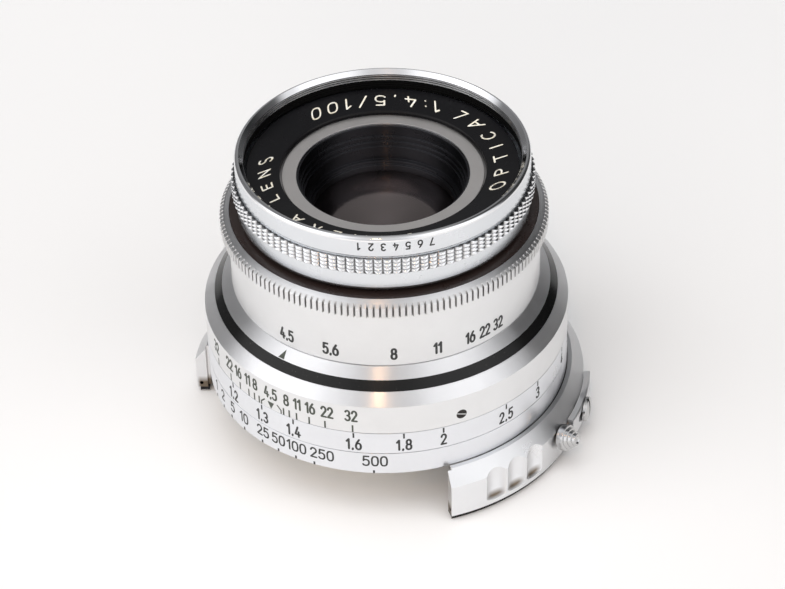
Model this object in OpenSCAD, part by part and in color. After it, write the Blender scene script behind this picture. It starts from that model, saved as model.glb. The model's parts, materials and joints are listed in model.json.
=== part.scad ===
// A 100 mm f/4.5 lens with a focusing barrel that sinks into a C-shaped outer bayonet collar.
// Millimetres. The optical axis is Z, +Z points to the front, and z = 0 is the rear face of the collar.
// Azimuths are counted from -Y, where the scale index stands, towards +X.
// The pose drawn is set to 1.335 m, f/4.5 and 1/50 s.

/* [Collar] */
// Outer radius of the collar wall
collar_r = 34.7; // [33.5:0.1:36]
// Inner radius of the collar wall, which clears the scale rings at infinity
collar_bore_r = 32.3; // [32:0.1:33]
// Height of the collar above the rear face
collar_h = 10; // [8:0.1:12]
// Height of the collar's bevel
collar_bevel_h = 2.6; // [1:0.1:4]
// Width of the flat top edge inside the bevel
collar_edge_w = 0.3; // [0.1:0.05:1]
// Half angle of the window in front of the scales
window_half = 56; // [40:1:80]
// Angle by which the collar's inner corner stands back from each end face
end_step = 1.2; // [0:0.1:3]
// Radius of the inner corner step
end_step_r = 32.9; // [32.5:0.05:33.5]
// Number of finger flutes on each wing
flute_count = 3; // [1:1:5]
// Azimuth of the flute nearest the window
flute_az = 70.1; // [62:0.1:80]
// Angle between flutes
flute_pitch = 7.15; // [6:0.05:9]
// Radius of the cutter that makes a flute
flute_r = 3.4; // [2:0.05:5]
// Depth of a flute
flute_depth = 0.7; // [0.4:0.05:1.5]
// Height of the flute's floor above the rear face
flute_floor = 2.3; // [1.5:0.1:4]

/* [Rear plate and fixed tube] */
// Thickness of the rear plate
plate_t = 0.6; // [0.4:0.05:0.65]
// Outer radius of the rear plate
plate_r = 34.2; // [33:0.1:34.5]
// Radius of the rear throat
throat_r = 16; // [14:0.1:16.5]
// Outer radius of the fixed tube that the focusing nut turns on
tube_r = 19.4; // [18.5:0.05:19.6]
// Bore of the fixed tube
tube_bore_r = 17.25; // [16.5:0.05:18]
// Height of the fixed tube's top edge
tube_top = 21; // [19:0.1:21.3]
// Lowest point of the key slots
slot_z0 = 1.1; // [0.9:0.05:1.2]
// Highest point of the key slots
slot_z1 = 14.1; // [13.9:0.1:16]

/* [Latch] */
// Height of the latch's centre line
lock_z = 5.2; // [4.5:0.1:5.3]
// Azimuth of the knob
lock_az = 97; // [93:0.5:105]
// Azimuth of the guide screw
lock_screw_az = 111.5; // [109:0.5:118]
// Azimuth of the latch plate's far end
lock_end_az = 124; // [118:0.5:130]
// Travel of the latch plate away from the flutes
lock_travel = 4; // [2:0.5:5]
// Outer radius of the latch plate
lock_r = 35.9; // [35.5:0.1:37]
// Half height of the latch plate
lock_half_h = 2.1; // [1.8:0.05:2.2]
// Radius of the knob's widest step
knob_r = 2.3; // [2:0.05:2.5]
// Radius at which the middle of the knob's foot stands
knob_foot_r = 35.2; // [35.2:0.05:35.6]
// Angle by which the knob leans towards the front
knob_lean = 11; // [0:1:12]
// Length of the knob's widest step
knob_first_h = 1.5; // [1:0.05:2]
// Number of steps on the knob
knob_steps = 4; // [2:1:6]
// Length of each further step of the knob
knob_step_h = 0.65; // [0.4:0.05:1.2]
// Loss of radius from one step of the knob to the next
knob_step_r = 0.4; // [0.2:0.05:0.6]
// Radius of the guide screw's head
lock_head_r = 2.2; // [1.5:0.05:2.4]

/* [Focusing] */
// Height of the barrel's lowest edge in the pose drawn
body_z = 9.8; // [9.8:0.1:12]
// Radius shared by the three scale rings
scale_r = 31.68; // [31:0.02:32]
// Parting line between two scale rings
line_gap = 0.08; // [0.05:0.01:0.15]
// Height of the speed ring
speed_h = 4.45; // [3.5:0.05:5]
// Height of the distance ring
distance_h = 4.35; // [3.5:0.05:5]
// Extension from the infinity mark to the pose drawn
focus_back = 9.07; // [8:0.01:9.2]
// Extension from the pose drawn to the nearest mark
focus_on = 1.03; // [0.5:0.01:1.2]
// Advance of the barrel in one turn of the distance ring
focus_lead = 19.74; // [15:0.01:25]

/* [Shell] */
// Height of the depth-of-field skirt's straight wall
skirt_h = 5.65; // [4:0.05:7]
// Height of the outer bevel
cone_h = 1.9; // [1:0.05:3]
// Radius at the top of the outer bevel
cone_top_r = 29.86; // [29:0.02:31]
// Height of the black band
band_h = 1.41; // [1:0.05:2]
// Radius at the top of the black band
band_top_r = 28.56; // [28:0.02:29.5]
// Height of the inner bevel
bevel_h = 1.43; // [1:0.05:2]
// Radius at the top of the inner bevel
bevel_top_r = 26.62; // [26:0.02:27.5]
// Outer radius of the shell, the bearing of the aperture ring
shell_r = 23.9; // [23:0.05:24.5]
// Bore of the shell
shell_bore_r = 22.4; // [22:0.05:23]
// Radius of the slotted set screws in the skirt
skirt_screw_r = 0.85; // [0.6:0.05:1]
// Azimuth of the first set screw
skirt_screw_az = 61.4; // [50:0.1:75]

/* [Aperture ring] */
// Outer radius of the smooth part
aperture_r = 26.7; // [26:0.05:27.2]
// Height of the aperture ring
aperture_h = 14.1; // [12:0.1:16]
// Radius over the teeth of the grip
grip_r = 28.05; // [27.5:0.05:29]
// Height of the toothed grip
grip_h = 2.75; // [2:0.05:4]
// Number of teeth on the grip
grip_teeth = 166; // [100:1:200]
// Depth of the teeth
grip_depth = 0.42; // [0.2:0.02:0.8]
// Turn of the ring from the largest to the smallest opening
aperture_turn = 83.1; // [60:0.1:95]

/* [Iris] */
// Number of blades
blade_count = 10; // [6:1:12]
// Radius of the circle that the blade pivots stand on
pivot_r = 16.9; // [16:0.05:17.5]
// Inner radius of a blade
blade_in_r = 11.25; // [11:0.05:12]
// Outer radius of a blade
blade_out_r = 15.95; // [15:0.05:16.2]
// Angle spanned by a blade
blade_span = 112; // [100:1:120]
// Thickness of a blade
blade_t = 0.05; // [0.03:0.01:0.07]
// Height from one blade's level to the next
blade_level = 0.09; // [0.08:0.01:0.1]
// Distance from a blade's pivot to its driving pin
drive_reach = 6.5; // [5:0.1:7]
// Radius of the blade pins
pin_r = 0.35; // [0.25:0.01:0.4]
// Radius of the smallest opening
smallest_r = 1.56; // [1:0.01:3]

/* [Front ring] */
// Radius of the front rim, the seat of a slip-on cap or hood
rim_r = 25; // [24:0.05:26]
// Height of the front ring
front_h = 10.9; // [9:0.1:12]
// Height of the plain rim
rim_h = 3.6; // [2:0.1:5]
// Height of the knurl under the rim
knurl_h = 3; // [2:0.1:4]
// Radius at the bottom of the knurl's grooves
knurl_root_r = 25.3; // [25:0.05:25.6]
// Radius of the filter thread
thread_r = 23.5; // [22.5:0.05:24]
// Radius of the lettered ring's outer edge
name_r = 23; // [22.5:0.05:23.2]
// Radius of the lettered ring's inner edge
name_bore_r = 17.5; // [17:0.1:18.5]

/* [Glass] */
// Outer radius of the cell's silver face
face_r = 17.1; // [16.5:0.1:17.4]
// Bore of the front cell, outside the ribbed retainer
face_bore_r = 14.7; // [14:0.1:15]
// Radius of the front group's glass
front_glass_r = 12.9; // [12:0.1:13.5]
// Clear radius of the front group
front_clear_r = 12.25; // [11.5:0.05:12.6]
// Radius of curvature of the front surface
front_curve_r = 34; // [28:1:50]
// Radius of the rear group's glass
rear_glass_r = 11.9; // [11:0.1:12.2]
// Clear radius of the rear group
rear_clear_r = 11.2; // [10.5:0.05:11.5]

/* [Hidden] */
$fn = 96;
fit = 0.05;                       // running clearance on a radius
cut = 1;                          // overshoot of a cutting body
fine = 256;                       // facets of a ball
dome_root = 0.2;                  // depth to which a dome is rooted in its glass

// Heights of the scale rings and the shell, from the rear to the front.
distance_z = body_z + speed_h + line_gap;
skirt_z = distance_z + distance_h + line_gap;
cone_z = skirt_z + skirt_h;
band_z = cone_z + cone_h;
bevel_z = band_z + band_h;
aperture_z = bevel_z + bevel_h + fit;
aperture_top = aperture_z + aperture_h;
grip_z = aperture_top - 0.15 - grip_h;
front_z = aperture_top + 0.3;
lip_z = front_z + front_h;

// Carrier of the speed ring.
carrier_r = 29;
carrier_in_r = 19.8;
carrier_z = body_z + 0.5;
carrier_top = body_z + 4;
retainer_r = 30.4;
retainer_in_r = 26.5;
retainer_screw_pcd_r = 27.7;

// Latch: stem of the knob, shank of the guide screw and the plate's inner face.
stem_r = 0.7;
guide_r = 0.8;
lock_in_r = collar_r + fit;
tongue_r = lock_in_r + 0.15;
tongue_half_h = 1.2;
tongue_end_r = 1.3;
knob_room = 4.6;
end_extra = 0.03;
guide_slit_w = 0.5;
guide_head_h = 0.6;
guide_dome_h = 0.35;

// Blind hole in each end face of the collar.
end_hole_r = 0.35;
end_hole_z = 1.9;
end_hole_pcd_r = 33.9;
end_hole_depth = 2;

// Opening of the rear plate between the wings.
window_back = 4;
window_land = 0.6;

// Keys between the barrel and the fixed tube.
key_count = 3;
key_az = 60;
key_w = 4;
key_in_r = 16;
key_out_r = 21;
key_z = body_z + 0.7;
key_h = 2.2;

// Focusing nut and stop.
nut_r = 22;
nut_z = 14.1;
nut_top = 20.2;
nut_screw_r = 0.6;
nut_screw_az = 30;
nut_screw_foot = 1;
stop_r = 27;
stop_pin_r = 0.6;
stop_pin_foot = 2;
stop_groove_h = 0.85;
stop_range = [-360 * focus_back / focus_lead, 360 * focus_on / focus_lead];
stop_margin = 2;

// Barrel.
barrel_r = tube_bore_r - fit;
barrel_bore_r = 15.6;
barrel_z = body_z;
flange_z = 30.35;
flange_t = 0.9;
ledge_r = 20.2;
ledge_h = 0.95;
flange_screw_pcd_r = 21.3;
flange_screw_az = 90;

// Iris stack.
iris_z = flange_z + flange_t;
iris_plate_t = 0.9;
iris_hole_r = 11.1;
blade_z = iris_z + iris_plate_t + fit;
pin_foot_z = iris_z + 0.1;
cam_z = blade_z + blade_count * blade_level + 0.1;
cam_t = 0.9;
cam_r = 18.2;
cam_bore_r = 12.1;
cam_arm_r = 21.6;
cam_arm_w = 3;
cam_arm_h = 1.6;
blade_swing = 2 * asin((blade_in_r - smallest_r) / (2 * pivot_r));
drive_az = 2 * asin(drive_reach / (2 * pivot_r));
ear_r = pivot_r + 0.7;
ear_margin = 2.2;
ear_root = 0.5;
blade_start = 0.5;
blade_end_gap = 0.1;
slot_half_w = pin_r + 0.04;
slot_end_r = slot_half_w + end_extra;
slot_points = 28;

// Set screws of the skirt.
skirt_screw_in_r = 23.2;
skirt_screw_z = skirt_z + 1.85;
skirt_slit_w = 0.25;
skirt_slit_depth = 0.4;
skirt_slit_turn = 20;

// Screw that joins the aperture ring to the cam ring.
drive_screw_az = 180;
drive_screw_z = cam_z + cam_arm_h / 2;
drive_screw_r = 0.6;
drive_head_r = 1.2;
drive_head_in_r = 24.7;
drive_screw_in_r = 18.6;
drive_slit_w = 0.35;
drive_slit_depth = 0.7;

// Shape of a grip tooth, as shares of its pitch, and the smooth edges beside the grip.
tooth_foot = 0.12;
tooth_edge = 0.34;
grip_edge = 0.1;

// Ring that keeps the aperture ring on the shell.
cap_r = 26.35;
cap_z = aperture_top - 1.2;
cap_top = aperture_top - 0.06;

// Front cell.
cell_z = cam_z + cam_t + 0.2;
cell_step_r = 17.6;
cell_step_z = cam_z + cam_arm_h + 0.2;
neck_r = 22.3;
name_z = lip_z - 5.2;
face_z = name_z + 0.2;
name_top_z = lip_z - 3.4;
name_low_z = lip_z - 4.25;

// Front ring: curved foot, groove between knurl and rim, and the lip round the recess.
foot_curve_r = 3.2;
rim_groove = 0.15;
rim_groove_h = 0.4;
lip_curve = 0.35;
lip_w = 0.6;
lip_slope = 0.7;

// Front glass, from the rear to the front.
second_z = 34.9;
second_t = 2.1;
spacer_t = 1.4;
front_glass_z = second_z + second_t + spacer_t;
front_back_curve_r = 160;
second_front_curve_r = 162;
second_back_curve_r = 108;
second_clear_r = 11.4;
front_glass_t = 2.8;
front_seat_z = front_glass_z + front_glass_t;

// Shelves of the front retainer as [radius, height], from the front to the rear.
shelves = [
    [14.3, face_z - 0.3], [14, 47.2], [13.7, 46.3], [13.4, 45.5], [12.65, 43], [front_clear_r, 42.4]
];

// Rear group.
rear_cell_z = 16.5;
rear_cell_top = 30.2;
rear_seat_z = 23.6;
rear_thread_r = 12.4;
cement_z = 25;
cement_r = 11.6;
cement_curve_r = 28;
third_top = 29.6;
third_curve_r = 120;
third_clear_r = 10.9;
rear_curve_r = 45;

// Ridged baffle and slotted retainer behind the rear glass.
baffle_top = rear_seat_z - 2.3;
ridge_count = 4;
ridge_root_r = 11.9;
ridge_crest_r = 11.3;
ridge_slope = 0.8;
rear_retainer_h = 2;
rear_retainer_slot_w = 1;
rear_retainer_slot_h = 0.6;

// Small screws.
screw_r = 0.5;
screw_head_r = 0.8;
screw_head_h = 0.35;
tube_screw_pcd_r = (tube_r + tube_bore_r) / 2;
tube_screw_count = 3;
tube_screw_az = 0;
collar_screw_pcd_r = 33.3;
collar_screw_pitch = 42.5;
screw_depth = 2;

// ---- Helpers ----

// Turns children from the index at -Y to azimuth a.
module at(a) {
    rotate([0, 0, a]) children();
}

// A turned body with the given half section of [radius, height] points.
module turned(section) {
    rotate_extrude() polygon(section);
}

// A plain ring.
module ring(r_in, r_out, z0, z1) {
    turned([[r_in, z0], [r_out, z0], [r_out, z1], [r_in, z1]]);
}

// A half section swept from azimuth a0 to a1.
module swept(section, a0, a1) {
    rotate_extrude(angle = a1 - a0, start = a0 - 90) polygon(section);
}

// A block of a ring, from azimuth a0 to a1.
module arc_block(r_in, r_out, z0, z1, a0, a1) {
    swept([[r_in, z0], [r_out, z0], [r_out, z1], [r_in, z1]], a0, a1);
}

// A round bar on a radius, from r_in to r_out at azimuth a and height z.
module radial_bar(r, r_in, r_out, a, z) {
    at(a) translate([0, -r_in, z]) rotate([90, 0, 0]) cylinder(r = r, h = r_out - r_in);
}

// Points on an arc in a half section.
function arc_points(centre, r, a0, a1, n) =
    [for (i = [0:n]) centre + r * [cos(a0 + (a1 - a0) * i / n), sin(a0 + (a1 - a0) * i / n)]];

// A small countersunk screw whose head lies flush with z = 0 and whose shank points up.
module small_screw(depth) {
    cylinder(r1 = screw_head_r, r2 = screw_r, h = screw_head_h);
    cylinder(r = screw_r, h = depth);
}

// Radius at which a spherical surface of radius curve, met at rim radius r, stands above its rim.
function sag(curve, r) = curve - sqrt(curve * curve - r * r);

// The part of a ball that stands above height z inside radius r, with a short root below z.
module dome_up(curve, r, z) {
    intersection() {
        translate([0, 0, z + sag(curve, r) - curve]) sphere(r = curve, $fn = fine);
        translate([0, 0, z - dome_root]) cylinder(r = r, h = dome_root + sag(curve, r) + cut);
    }
}

// The same part, hanging below height z.
module dome_down(curve, r, z) {
    translate([0, 0, z]) mirror([0, 0, 1]) dome_up(curve, r, 0);
}

// ---- Collar, rear plate and fixed tube ----

module collar_body() {
    top_r = collar_bore_r + collar_edge_w;
    section = [
        [collar_bore_r, plate_t], [collar_r, plate_t], [collar_r, collar_h - collar_bevel_h],
        [top_r, collar_h], [collar_bore_r, collar_h]
    ];
    difference() {
        swept(section, window_half, 360 - window_half);
        for (side = [-1, 1]) {
            corner = side * (window_half + end_step / 2);
            arc_block(collar_bore_r - cut, end_step_r, 0, collar_h + cut,
                      corner - end_step, corner + end_step / 2);
        }
    }
}

module flutes() {
    for (side = [-1, 1], i = [0:flute_count - 1]) {
        at(side * (flute_az + i * flute_pitch))
            translate([0, flute_depth - collar_r - flute_r, flute_floor]) {
                cylinder(r = flute_r, h = collar_h);
                translate([0, 0, -flute_depth / 2])
                    cylinder(r1 = flute_r - flute_depth / 2, r2 = flute_r, h = flute_depth / 2);
            }
    }
}

// A round-ended slot through a wall, from azimuth a0 to a1.
module wall_slot(r, r_in, r_out, a0, a1, z) {
    arc_block(r_in - cut, r_out + cut, z - r, z + r, a0, a1);
    for (a = [a0, a1]) {
        radial_bar(r + end_extra, r_in - cut, r_out + cut, a, z);
    }
}

// Small blind holes in the collar's end faces.
module end_holes() {
    for (side = [-1, 1]) {
        at(side * window_half) translate([-side * cut, -end_hole_pcd_r, end_hole_z])
            rotate([0, side * 90, 0]) cylinder(r = end_hole_r, h = cut + end_hole_depth);
    }
}

module wing_collar() {
    color("silver") difference() {
        collar_body();
        flutes();
        wall_slot(stem_r + 2 * fit, collar_bore_r, collar_r, lock_az, lock_az + lock_travel, lock_z);
        radial_bar(guide_r, collar_bore_r - cut, collar_r + cut, lock_screw_az, lock_z);
        end_holes();
        collar_screw_set();
    }
}

// Opening of the rear plate between the wings, in front of the fixed tube.
module plate_window() {
    half_w = plate_r * sin(window_half) + fit;
    difference() {
        translate([-half_w, -plate_r - cut, -cut])
            cube([2 * half_w, plate_r + cut - window_back, plate_t + 2 * cut]);
        translate([0, 0, -2 * cut]) cylinder(r = tube_r + window_land, h = plate_t + 4 * cut);
    }
}

module base_plate() {
    color("silver") difference() {
        ring(throat_r, plate_r, 0, plate_t);
        plate_window();
        collar_screw_set();
        tube_screw_set();
    }
}

module base_tube() {
    color("goldenrod") difference() {
        ring(tube_bore_r, tube_r, plate_t, tube_top);
        for (i = [0:key_count - 1]) {
            at(key_az + i * 360 / key_count)
                translate([-key_w / 2 - fit, -tube_r - cut, slot_z0])
                    cube([key_w + 2 * fit, tube_r - tube_bore_r + 2 * cut, slot_z1 - slot_z0]);
        }
        tube_screw_set();
    }
}

module tube_screw_set() {
    for (i = [0:tube_screw_count - 1]) {
        at(tube_screw_az + i * 360 / tube_screw_count)
            translate([0, -tube_screw_pcd_r, 0]) small_screw(screw_depth + plate_t);
    }
}

module collar_screw_set() {
    for (i = [-2:2]) {
        at(180 + i * collar_screw_pitch)
            translate([0, -collar_screw_pcd_r, 0]) small_screw(screw_depth + plate_t);
    }
}

module tube_screws() {
    color("dimgray") tube_screw_set();
}

module collar_screws() {
    color("dimgray") collar_screw_set();
}

// ---- Latch ----

// Thick plate beside the knob, with a thin tongue that reaches under the knob.
module lock_plate_body() {
    arc_block(lock_in_r, lock_r, lock_z - lock_half_h, lock_z + lock_half_h,
              lock_az + knob_room, lock_end_az);
    arc_block(lock_in_r, tongue_r, lock_z - tongue_half_h, lock_z + tongue_half_h,
              lock_az, lock_az + knob_room + lock_travel / 4);
    radial_bar(tongue_end_r, lock_in_r, tongue_r, lock_az, lock_z);
}

module lock_pad() {
    color("lightgray") difference() {
        lock_plate_body();
        wall_slot(guide_r + fit, lock_in_r, lock_r, lock_screw_az - lock_travel, lock_screw_az, lock_z);
        radial_bar(stem_r, lock_in_r - cut, lock_r + cut, lock_az, lock_z);
    }
}

module lock_knob() {
    color("whitesmoke") {
        radial_bar(stem_r, collar_bore_r - 0.3, knob_foot_r + knob_first_h / 2, lock_az, lock_z);
        at(lock_az) translate([0, -knob_foot_r, lock_z]) rotate([90 - knob_lean, 0, 0]) {
            cylinder(r = knob_r, h = knob_first_h);
            for (i = [1:knob_steps - 1]) {
                translate([0, 0, knob_first_h + (i - 1) * knob_step_h])
                    cylinder(r = knob_r - i * knob_step_r, h = knob_step_h);
            }
        }
    }
}

module lock_guide_screw() {
    head_in_r = lock_r + fit;
    head_out_r = head_in_r + guide_head_h;
    curve = (lock_head_r * lock_head_r + guide_dome_h * guide_dome_h) / (2 * guide_dome_h);
    dome = arc_points([0, head_out_r + guide_dome_h - curve], curve, acos(lock_head_r / curve), 90, 8);
    section = concat(
        [[0, collar_bore_r], [guide_r, collar_bore_r], [guide_r, head_in_r], [lock_head_r, head_in_r]],
        dome
    );
    color("whitesmoke") at(lock_screw_az) translate([0, 0, lock_z]) rotate([90, 0, 0]) difference() {
        turned(section);
        translate([-guide_slit_w / 2, -lock_head_r - cut, head_in_r + guide_head_h / 2])
            cube([guide_slit_w, 2 * (lock_head_r + cut), guide_head_h + guide_dome_h + cut]);
    }
}

// ---- Barrel: tube, shell and scale carriers ----

module key_set() {
    for (i = [0:key_count - 1]) {
        at(key_az + i * 360 / key_count)
            translate([-key_w / 2, -key_out_r, key_z]) cube([key_w, key_out_r - key_in_r, key_h]);
    }
}

module guide_keys() {
    color("dimgray") key_set();
}

module flange_screw_set() {
    head_z = iris_z + iris_plate_t;
    for (i = [0:2]) {
        at(flange_screw_az + i * 120) translate([0, -flange_screw_pcd_r, head_z])
            mirror([0, 0, 1]) small_screw(head_z - flange_z + ledge_h);
    }
}

module flange_screws() {
    color("dimgray") flange_screw_set();
}

module inner_barrel() {
    section = [
        [barrel_bore_r, barrel_z], [barrel_r, barrel_z], [barrel_r, flange_z],
        [shell_bore_r, flange_z], [shell_bore_r, iris_z], [barrel_bore_r, iris_z]
    ];
    color("dimgray") difference() {
        turned(section);
        key_set();
        flange_screw_set();
    }
}

module skirt_screw_set(head_r) {
    for (i = [0:2]) {
        radial_bar(skirt_screw_r, skirt_screw_in_r, head_r, skirt_screw_az + i * 120, skirt_screw_z);
    }
}

module main_shell() {
    color("gray") difference() {
        ring(shell_bore_r, shell_r, skirt_z + fit, cap_top);
        skirt_screw_set(scale_r);
        wall_slot(drive_screw_r + 2 * fit, shell_bore_r, shell_r, drive_screw_az - aperture_turn,
                  drive_screw_az, drive_screw_z);
    }
    color("gray") difference() {
        ring(ledge_r, shell_bore_r, flange_z - ledge_h, flange_z);
        flange_screw_set();
    }
}

module scale_skirt() {
    section = [
        [shell_r, skirt_z], [scale_r, skirt_z], [scale_r, cone_z],
        [cone_top_r, band_z], [shell_r, band_z]
    ];
    color("gainsboro") difference() {
        turned(section);
        skirt_screw_set(scale_r + cut);
        arc_block(stop_r - stop_pin_r - fit, stop_r + stop_pin_r + fit, skirt_z - cut,
                  skirt_z + stop_groove_h, stop_range[0] - stop_margin, stop_range[1] + stop_margin);
    }
}

module skirt_screws() {
    head_r = scale_r - 0.3;
    color("dimgray") difference() {
        skirt_screw_set(head_r);
        for (i = [0:2]) {
            at(skirt_screw_az + i * 120) translate([0, -head_r, skirt_screw_z])
                rotate([0, skirt_slit_turn, 0])
                    cube([2 * (skirt_screw_r + cut), 2 * skirt_slit_depth, skirt_slit_w], center = true);
        }
    }
}

module black_band() {
    color([0.1, 0.1, 0.1])
        turned([[shell_r, band_z], [cone_top_r, band_z], [band_top_r, bevel_z], [shell_r, bevel_z]]);
}

module bevel_ring() {
    top_z = bevel_z + bevel_h;
    color("whitesmoke")
        turned([[shell_r, bevel_z], [band_top_r, bevel_z], [bevel_top_r, top_z], [shell_r, top_z]]);
}

module speed_carrier() {
    color("gray") difference() {
        ring(carrier_in_r, carrier_r, carrier_z, carrier_top);
        key_set();
        retainer_screw_set();
    }
}

module retainer_screw_set() {
    for (i = [0:2]) {
        at(90 + i * 120) translate([0, -retainer_screw_pcd_r, body_z]) small_screw(screw_depth);
    }
}

module speed_retainer() {
    color("silver") difference() {
        ring(retainer_in_r, retainer_r, body_z, carrier_z);
        retainer_screw_set();
    }
}

module retainer_screws() {
    color("dimgray") retainer_screw_set();
}

// ---- Focusing ring and speed ring ----

module nut_screw_set() {
    for (i = [0:2]) {
        at(nut_screw_az + i * 120) translate([0, -nut_r, distance_z + nut_screw_foot])
            cylinder(r = nut_screw_r, h = distance_h - nut_screw_foot);
    }
}

module nut_screws() {
    color("dimgray") nut_screw_set();
}

module stop_pin_body() {
    foot_z = distance_z + stop_pin_foot;
    translate([0, -stop_r, foot_z]) cylinder(r = stop_pin_r, h = skirt_z + stop_groove_h - fit - foot_z);
}

module stop_pin() {
    color("dimgray") stop_pin_body();
}

module distance_ring() {
    color("lightgray") difference() {
        ring(nut_r, scale_r, distance_z, distance_z + distance_h);
        nut_screw_set();
        stop_pin_body();
    }
}

module focus_nut() {
    color("goldenrod") difference() {
        ring(tube_r + fit, nut_r, nut_z, nut_top);
        nut_screw_set();
    }
}

module speed_ring() {
    step_z = carrier_z + fit;
    section = [
        [retainer_r + fit, body_z], [scale_r - 0.15, body_z], [scale_r, body_z + 0.15],
        [scale_r, body_z + speed_h], [carrier_r + fit, body_z + speed_h],
        [carrier_r + fit, step_z], [retainer_r + fit, step_z]
    ];
    color("lightgray") turned(section);
}

// ---- Aperture ring ----

// Outline of the toothed grip, with flat crests and flat roots.
module grip_outline() {
    step = 360 / grip_teeth;
    root_r = grip_r - grip_depth;
    points = [
        for (i = [0:grip_teeth - 1],
             p = [[tooth_foot, root_r], [tooth_edge, grip_r],
                  [1 - tooth_edge, grip_r], [1 - tooth_foot, root_r]])
            p[1] * [cos(step * (i + p[0])), sin(step * (i + p[0]))]
    ];
    polygon(points);
}

module aperture_ring() {
    bore = shell_r + fit;
    recess_r = cap_r + fit;
    recess_z = cap_z - fit;
    root_r = grip_r - grip_depth;
    section = [
        [bore, aperture_z], [aperture_r, aperture_z], [aperture_r, grip_z + grip_edge],
        [root_r, grip_z + grip_edge], [root_r, grip_z + grip_h - grip_edge],
        [root_r + grip_edge, aperture_top], [recess_r, aperture_top], [recess_r, recess_z],
        [bore, recess_z]
    ];
    color("gainsboro") difference() {
        union() {
            turned(section);
            difference() {
                translate([0, 0, grip_z]) linear_extrude(grip_h) grip_outline();
                translate([0, 0, grip_z - cut])
                    cylinder(r = aperture_r - grip_edge, h = grip_h + 2 * cut);
            }
        }
        radial_bar(drive_screw_r, bore - cut, drive_head_in_r + cut, drive_screw_az, drive_screw_z);
        radial_bar(drive_head_r, drive_head_in_r, aperture_r + cut, drive_screw_az, drive_screw_z);
    }
}

module drive_screw() {
    color("dimgray") difference() {
        union() {
            radial_bar(drive_screw_r, drive_screw_in_r, drive_head_in_r + 0.1, drive_screw_az,
                       drive_screw_z);
            radial_bar(drive_head_r, drive_head_in_r, aperture_r - 0.15, drive_screw_az,
                       drive_screw_z);
        }
        at(drive_screw_az) translate([0, -aperture_r, drive_screw_z])
            cube([drive_slit_w, 2 * drive_slit_depth, 2 * (drive_head_r + cut)], center = true);
    }
}

module aperture_retainer() {
    color([0.15, 0.12, 0.1]) ring(shell_r, cap_r, cap_z, cap_top);
}

// ---- Iris ----

// Position of a blade's driving pin after the blade has swung by angle a.
function pin_at(a) =
    [pivot_r, 0] + drive_reach * [cos(90 + drive_az / 2 + a), sin(90 + drive_az / 2 + a)];

// Turns a point about the axis.
function turned_by(p, a) = [p[0] * cos(a) - p[1] * sin(a), p[0] * sin(a) + p[1] * cos(a)];

// Centre line of a cam slot, for t from 0 (open) to 1 (closed).
function slot_at(t) = turned_by(pin_at(blade_swing * t), aperture_turn * t);

// Unit normal of the centre line.
function slot_normal(t) =
    let (d = slot_at(t + 0.001) - slot_at(t - 0.001))
    [-d[1], d[0]] / norm(d);

module cam_slot() {
    steps = [for (i = [0:slot_points]) i / slot_points];
    one_side = [for (t = steps) slot_at(t) + slot_half_w * slot_normal(t)];
    other_side = [for (t = steps) slot_at(1 - t) - slot_half_w * slot_normal(1 - t)];
    translate([0, 0, cam_z - cut]) {
        linear_extrude(cam_t + 2 * cut) polygon(concat(one_side, other_side));
        for (t = [0, 1]) {
            translate(slot_at(t)) cylinder(r = slot_end_r, h = cam_t + 2 * cut);
        }
    }
}

module iris_cam_ring() {
    color("darkgoldenrod") difference() {
        union() {
            ring(cam_bore_r, cam_r, cam_z, cam_z + cam_t);
            at(drive_screw_az) translate([-cam_arm_w / 2, -cam_arm_r, cam_z])
                cube([cam_arm_w, cam_arm_r - cam_r + 0.4, cam_arm_h]);
        }
        for (i = [0:blade_count - 1]) {
            rotate([0, 0, i * 360 / blade_count]) cam_slot();
        }
        radial_bar(drive_screw_r, drive_screw_in_r, cam_arm_r + cut, drive_screw_az, drive_screw_z);
    }
}

module iris_plate() {
    color([0.15, 0.15, 0.15]) difference() {
        ring(iris_hole_r, shell_bore_r, iris_z, iris_z + iris_plate_t);
        for (i = [0:blade_count - 1]) {
            rotate([0, 0, i * 360 / blade_count]) translate([pivot_r, 0, iris_z - cut])
                cylinder(r = pin_r + fit, h = iris_plate_t + 2 * cut);
        }
        flange_screw_set();
    }
}

// One blade: an arc with an ear outside it for the two pins.
module iris_blade(i) {
    z = blade_z + i * blade_level;
    mid_r = (blade_in_r + blade_out_r) / 2;
    color([0.2, 0.2, 0.2]) rotate([0, 0, i * 360 / blade_count]) {
        translate([0, 0, z]) {
            rotate_extrude(angle = blade_span - blade_start, start = blade_start)
                translate([blade_in_r, 0]) square([blade_out_r - blade_in_r, blade_t]);
            rotate_extrude(angle = drive_az + 2 * ear_margin, start = -ear_margin)
                translate([blade_out_r - ear_root, 0])
                    square([ear_r - blade_out_r + ear_root, blade_t]);
            rotate([0, 0, blade_span]) translate([mid_r, 0, 0])
                cylinder(r = (blade_out_r - blade_in_r) / 2 - blade_end_gap, h = blade_t);
        }
        translate([pivot_r, 0, pin_foot_z]) cylinder(r = pin_r, h = z + blade_t - pin_foot_z);
        rotate([0, 0, drive_az]) translate([pivot_r, 0, z])
            cylinder(r = pin_r, h = cam_z + cam_t - fit - z);
    }
}

// ---- Front cell and front ring ----

module front_cell() {
    section = [
        [front_glass_r - 1, cell_z], [cell_step_r, cell_z], [cell_step_r, cell_step_z],
        [shell_bore_r, cell_step_z], [shell_bore_r, front_z], [neck_r, front_z],
        [neck_r, name_z], [face_r, name_z], [face_r, face_z], [face_bore_r, face_z],
        [face_bore_r, front_seat_z], [front_glass_r, front_seat_z], [front_glass_r, second_z],
        [front_glass_r - 1, second_z]
    ];
    color("gray") turned(section);
}

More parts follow.
